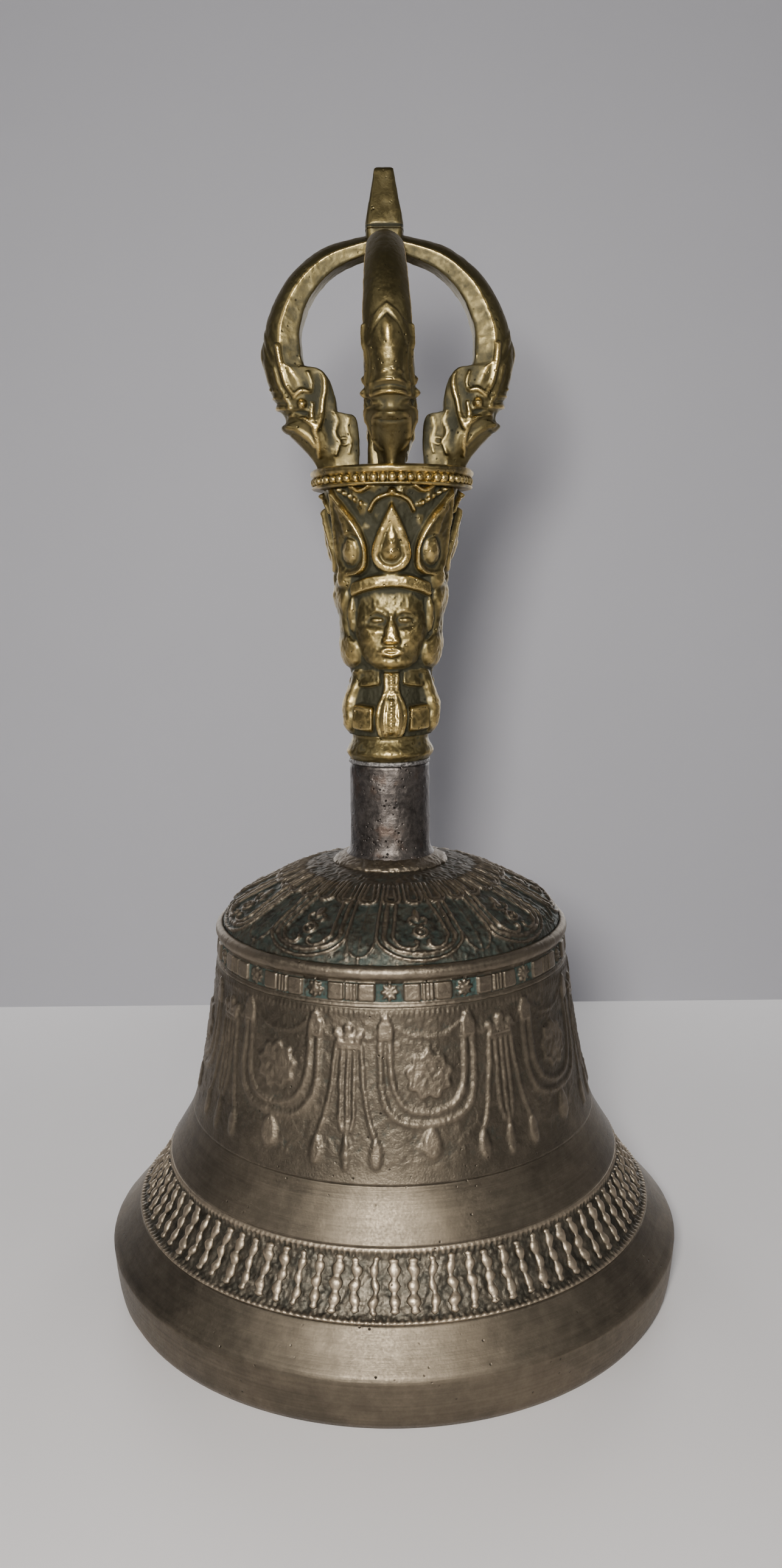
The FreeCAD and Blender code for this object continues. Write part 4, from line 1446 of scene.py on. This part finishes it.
def prong_relief(surface, flat_side, outer_face):
    """Height of the creature's features over the prong's plain shape."""
    across = surface[:, :, 0]
    reach = surface[:, :, 1]
    level = surface[:, :, 2]
    side = np.zeros(across.shape)
    low = level < 153
    for points, half_width, rise in HEAD_RIDGES:
        line = rise * ridge(reach[low], level[low], points, half_width)
        side[low] = np.maximum(side[low], line)
    eye = np.hypot(reach - 13.5, level - 142.4)
    side -= 0.3 * hump(eye - 1.05, 0.45)
    side = np.maximum(side, 0.75 * hump(eye, 0.95))
    side -= 0.35 * plateau(ellipse(reach - 13.9, level - 141.0, 1.2, 0.45), 0.2)
    side += 0.2 * hump(np.hypot(reach - 7.3, level - 136.9) - 0.55, 0.35)
    side -= 0.15 * plateau(block(reach - 9.6, level - 137.5, 0.5, 2.6, 0.5), 0.6)

    away = np.abs(across)
    outer = np.zeros(across.shape)
    arch = [(3.9, 145.5), (3.5, 148.6), (2.5, 151.4), (1.2, 153.0), (0.0, 153.9)]
    tip = np.interp(away, [row[0] for row in arch[::-1]], [row[1] for row in arch[::-1]])
    outer += 0.14 * plateau(level - tip, 0.2) * plateau(142.0 - level, 0.5)
    near = level < 156
    outer[near] -= 0.12 * ridge(away[near], level[near], [
        (3.1, 145.8), (2.6, 148.6), (1.7, 150.8), (0.0, 152.6)], 0.35)
    boss = np.hypot(away / 1.1, (level - 150.2) / 2.3)
    outer += 0.34 * hump(boss, 1.0)
    outer += 0.1 * plateau(ellipse(away, level - 147.0, 1.9, 3.8), 1.4)
    for place, height in ((-0.75, 144.7), (0.55, 145.0), (1.6, 144.7)):
        outer += 0.24 * hump(np.hypot((across - place) / 0.6, (level - height) / 0.35), 1.0)
    outer = np.maximum(outer, 0.42 * hump(level - 143.7 + 0.05 * away ** 2, 0.45))
    outer = np.maximum(outer, 0.5 * hump(level - 142.2 + 0.05 * away ** 2, 0.6))
    outer -= 0.2 * hump(level - 142.95 + 0.05 * away ** 2, 0.3)
    outer -= 0.3 * plateau(ellipse(away, level - 140.4, 2.5, 0.9), 0.7)
    outer -= 0.14 * ridge(away, level, [(0.0, 138.0), (1.4, 138.15), (2.4, 138.7)], 0.3)
    return side * flat_side + outer * outer_face


def one_prong():
    """One prong: a creature's head whose snout throws the long bow up to the centre."""
    rows = np.array(flowing(PRONG_ROWS, 0.2))
    section = prong_section()
    depth = section[:, 0]
    inner = rows[:, None, 0:2]
    outer = rows[:, None, 2:4]
    place = inner + (outer - inner) * depth[None, :, None]
    share = np.clip((depth - 0.25) / 0.3, 0, 1)
    width = rows[:, 5:6] + (rows[:, 4:5] - rows[:, 5:6]) * share[None, :]
    across = width * section[:, 1][None, :]
    surface = np.stack([across, place[:, :, 0], place[:, :, 1]], axis=2)
    up = np.gradient(surface, axis=0)
    around = np.gradient(surface, axis=1)
    around[:, 0] = around[:, -1] = surface[:, 1] - surface[:, -2]
    normal = np.cross(up, around)
    normal /= np.linalg.norm(normal, axis=2)[:, :, None] + 1e-9
    if normal[len(rows) // 2, 60, 1] < 0:
        normal = -normal
    flat_side = plateau(0.72 - np.abs(normal[:, :, 0]), 0.2)
    outer_face = plateau(0.58 - depth, 0.06)[None, :] * (1 - 0.8 * flat_side)
    spots = surface.reshape(-1, 3)
    rough = uneven(spots, (0.05, 1.1, 91), (0.06, 3.2, 92), (0.025, 0.4, 93))
    rough = rough.reshape(across.shape)
    height = prong_relief(surface, flat_side, outer_face)
    # corner is the edge between the flat side and the rounded outer face; raising the relief
    # there paints a gold line that is partly rubbed wear and partly a painted highlight.
    corner = hump(depth - 0.54, 0.06)[None, :] * plateau(146.5 - surface[:, :, 2], 1.5)
    crest = height - softened(height, 5)
    # The inner part of each flat side is lowered towards olive tarnish as painted shade; the
    # innermost face is also made a little darker.
    inner_part_painted_shade = plateau(depth - 0.47, 0.05)[None, :]
    relief = (0.44 + 0.8 * corner + 1.2 * crest + 0.3 * height + 1.2 * rough
              - 0.18 * inner_part_painted_shade * flat_side - 0.1 * plateau(depth - 0.08, 0.05)[None, :])
    surface = surface + normal * (height + rough)[:, :, None]
    return rolled_shut("prong", surface, relief, surface[0].mean(axis=0),
                       surface[-1].mean(axis=0), 0.3)


def four_prongs():
    """The prong copied round the axis; each copy keeps its own mesh."""
    model = one_prong()
    flat = points_of(model)
    copies = {}
    for index, side in enumerate(("front", "right", "back", "left")):
        copy = copy_of(model)
        copy.name = "carved_prong_" + side
        turn = index * math.pi / 2
        reach = flat[:, 1]
        put_points(copy, np.stack([reach * math.sin(turn) + flat[:, 0] * math.cos(turn),
                                   -reach * math.cos(turn) + flat[:, 0] * math.sin(turn),
                                   flat[:, 2]], axis=1))
        copies[side] = clean(copy, 1e-7)
    bpy.data.objects.remove(model)
    return copies


# --- stage ----------------------------------------------------------------------------
# The stage is in metres.
WALL_PLACE = 0.122         # behind the bell's axis
CAMERA_ROLL = -0.0097
AIM_HEIGHT = 0.08
WHITE = (1, 1, 1)
LIGHTS = [                 # name, place, height aimed at, size, watts, colour
    ("key", (-0.024, -0.235, 0.152), AIM_HEIGHT, 0.045, 0.85, (1, 0.965, 0.92)),
    ("left", (-0.7, -0.5, 0.6), AIM_HEIGHT, 0.6, 0.8, WHITE),
    ("right", (0.8, -0.4, 0.5), AIM_HEIGHT, 0.5, 0.5, WHITE),
    ("behind_left", (-0.25, 0.55, 0.14), 0.09, 0.3, 1.3, WHITE),
    ("behind_right", (0.25, 0.55, 0.14), 0.09, 0.3, 1.3, WHITE),
    ("into_the_mouth", (0, 0, -0.25), 0.05, 0.05, 0.15, WHITE)]
SKY_COLOUR = (0.75, 0.78, 0.85, 1)
SKY_STRENGTH = 0.1
MOUTH_SPREAD = math.radians(8)   # keeps the last light inside the mouth


def sheet_of_stage(name, size, place, tilt, material):
    """A plain square of floor or wall that casts no shadow."""
    nothing_selected()
    bpy.ops.mesh.primitive_plane_add(size=size, location=place, rotation=(tilt, 0, 0))
    edit(bpy.context.object)
    bpy.ops.mesh.subdivide(number_cuts=8)
    piece = leave_edit()
    bpy.ops.object.transform_apply(location=True, rotation=True, scale=False)
    piece.name = name
    piece.data.materials.append(material)
    piece.visible_shadow = False
    return piece


def soft_light(name, place, aim_height, size, power, colour):
    """A round soft light that points at the bell's axis."""
    data = bpy.data.lights.new(name, "AREA")
    data.shape = "DISK"
    data.size = size
    data.energy = power
    data.color = colour
    lamp = bpy.data.objects.new(name, data)
    bpy.context.collection.objects.link(lamp)
    lamp.location = place
    aim = Vector((0, 0, aim_height)) - Vector(place)
    lamp.rotation_euler = aim.to_track_quat("-Z", "Y").to_euler()
    return lamp


def stage_camera():
    """Camera close in front of the bell, looking down a little."""
    settings = bpy.context.scene.stage_settings
    data = bpy.data.cameras.new("camera")
    data.lens = settings.lens
    data.sensor_width = 36
    data.clip_start = 0.005
    camera = bpy.data.objects.new("camera", data)
    bpy.context.collection.objects.link(camera)
    camera.location = (0.0002, -settings.distance, settings.height)
    level = Matrix.Rotation(math.pi / 2 - settings.tilt, 4, "X")
    roll = Matrix.Rotation(CAMERA_ROLL, 4, "Z")
    camera.rotation_euler = (level @ roll).to_euler()
    bpy.context.scene.camera = camera


# --- operators --------------------------------------------------------------------------
class MakeBell(bpy.types.Operator):
    """Build the bell's lip, wall, bands, shoulder, stem and inside"""
    bl_idname = "hand_bell.bell"
    bl_label = "Bell"

    def execute(self, context):
        slot_name = "bell_bronze"
        # Each metal below is one bell metal with its colours scaled by the last argument,
        # partly the zone's own tone and partly painted light: 0.82 darkens the turned metal
        # and the shoulder as painted shade, 1.45 brightens the bars and their ground as
        # painted highlight, and 0.92 and 0.9 only set the tone of the cast and green metals.
        turned = bell_finish("turned_metal_with_painted_shade", lathe=1.2, pitting=0.35, green=0.5,
                             tone_and_painted_light=0.82)
        cast = bell_finish("cast_bell_metal", lathe=0.3, pitting=1.2, green=0.35,
                           rub=0.55, hollows=(0.04, 0.24), tone_and_painted_light=0.92)
        barred_with_painted_highlight = bell_finish("barred_metal_with_painted_highlight", lathe=0.1, pitting=1.0, green=0.1,
                             rub=1.1, hollows=(0.12, 0.55), tone_and_painted_light=1.45)
        green = bell_finish("green_bell_metal", lathe=0.15, pitting=0.8, green=0.95,
                            rub=0.6, hollows=(0.0, 0.26), tone_and_painted_light=0.9)
        shoulder_with_painted_shade = bell_finish("shoulder_metal_with_painted_shade", lathe=0.15, pitting=1.0, green=0.45,
                           rub=1.0, hollows=(0.08, 0.5), tone_and_painted_light=0.82)
        stem = stem_finish("stem_metal")
        lower, upper = bell_wall()
        for piece, material in ((bell_lip(), turned), (bell_band(), barred_with_painted_highlight),
                                (bell_bars(), barred_with_painted_highlight), (lower, turned), (upper, cast),
                                (bell_frieze(), green), (bell_shoulder(), shoulder_with_painted_shade),
                                (bell_liner(), turned), (bell_stem(), stem),
                                (stem_foot(), cast)):
            finish_piece(piece, "bell", slot_name, material, "bell_shell")
        return {"FINISHED"}


class MakeHandle(bpy.types.Operator):
    """Build the seam, the collar, the bust with its crown, and the beaded plate"""
    bl_idname = "hand_bell.handle"
    bl_label = "Handle"

    def execute(self, context):
        brass = brass_finish("handled_brass")
        solder = solder_finish("old_solder")
        finish_piece(seam_ring(), "bell", "solder", solder, "stem_solder_ring")
        finish_piece(leaning(collar()), "bell", "handle_brass", brass, "neck_collar")
        finish_piece(leaning(handle_bust()), "bell", "handle_brass", brass, "handle_bust")
        finish_piece(leaning(plate()), "bell", "handle_brass", brass, "crown_plate")
        finish_piece(leaning(plate_beads()), "bell", "handle_brass", brass, "crown_plate")
        return {"FINISHED"}


class MakeCage(bpy.types.Operator):
    """Build the four creature-headed prongs and the square one they meet"""
    bl_idname = "hand_bell.cage"
    bl_label = "Cage of prongs"

    def execute(self, context):
        brass = brass_finish("prong_brass")
        for side, piece in four_prongs().items():
            finish_piece(leaning(piece), "bell", "handle_brass", brass, "prong_" + side)
        finish_piece(centre_prong(), "bell", "handle_brass", brass, "centre_prong")
        return {"FINISHED"}


class MakeClapper(bpy.types.Operator):
    """Give the iron hanger, link and clapper, and the pitch, their finishes"""
    bl_idname = "hand_bell.clapper"
    bl_label = "Clapper and hanger"

    def execute(self, context):
        iron = iron_finish("forged_iron")
        pitch = pitch_finish("pitch")
        for node in ("hanger_rod", "hanger_washer", "hanger_link", "clapper_rod",
                     "clapper_striker"):
            give_finish(node, iron)
        give_finish("pitch_packing", pitch)
        return {"FINISHED"}


def give_finish(node, material):
    """A CAD node that stays takes a finish in its material slots."""
    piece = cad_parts[node]
    for place in piece.material_slots:
        place.material = material
    if not piece.material_slots:
        piece.data.materials.append(material)


class MakeStage(bpy.types.Operator):
    """Build the floor, the backdrop, the lights and the camera"""
    bl_idname = "hand_bell.stage"
    bl_label = "Stage"

    def execute(self, context):
        settings = context.scene.stage_settings
        floor = sheet_of_stage("floor", 2.4, (0, -0.55, 0), 0,
                               plain_finish("floor_paint", settings.floor, 0.6))
        wall = sheet_of_stage("backdrop", 3.0, (0, WALL_PLACE, 1.2), math.pi / 2,
                              plain_finish("backdrop_paint", settings.wall, 0.8))
        lamps = {row[0]: soft_light(*row) for row in LIGHTS}
        lamps["into_the_mouth"].data.spread = MOUTH_SPREAD
        world = bpy.data.worlds.new("studio")
        world.use_nodes = True
        sky = world.node_tree.nodes["Background"]
        sky.inputs["Color"].default_value = SKY_COLOUR
        sky.inputs["Strength"].default_value = SKY_STRENGTH
        context.scene.world = world
        stage_camera()
        return {"FINISHED"}


class HandBellPanel(bpy.types.Panel):
    """Lists the steps that build the bell"""
    bl_idname = "VIEW3D_PT_hand_bell"
    bl_label = "Hand Bell"
    bl_space_type = "VIEW_3D"
    bl_region_type = "UI"
    bl_category = "Hand Bell"

    def draw(self, context):
        layout = self.layout
        for operator in OPERATORS:
            layout.operator(operator.bl_idname, text=operator.bl_label)
        for settings in SETTINGS:
            group = getattr(context.scene, settings)
            box = layout.box()
            for name in SETTINGS[settings].__annotations__:
                box.prop(group, name)


SETTINGS = {
    "bell_settings": BellSettings,
    "handle_settings": HandleSettings,
    "iron_settings": IronSettings,
    "stage_settings": StageSettings,
}
OPERATORS = (MakeBell, MakeHandle, MakeCage, MakeClapper, MakeStage)


def register():
    for name, group in SETTINGS.items():
        bpy.utils.register_class(group)
        setattr(bpy.types.Scene, name, PointerProperty(type=group))
    for operator in OPERATORS:
        bpy.utils.register_class(operator)
    bpy.utils.register_class(HandBellPanel)


def unregister():
    bpy.utils.unregister_class(HandBellPanel)
    for operator in reversed(OPERATORS):
        bpy.utils.unregister_class(operator)
    for name, group in SETTINGS.items():
        delattr(bpy.types.Scene, name)
        bpy.utils.unregister_class(group)


def main():
    register()
    for operator in OPERATORS:
        family, name = operator.bl_idname.split(".")
        getattr(getattr(bpy.ops, family), name)()


if __name__ == "__main__":
    main()
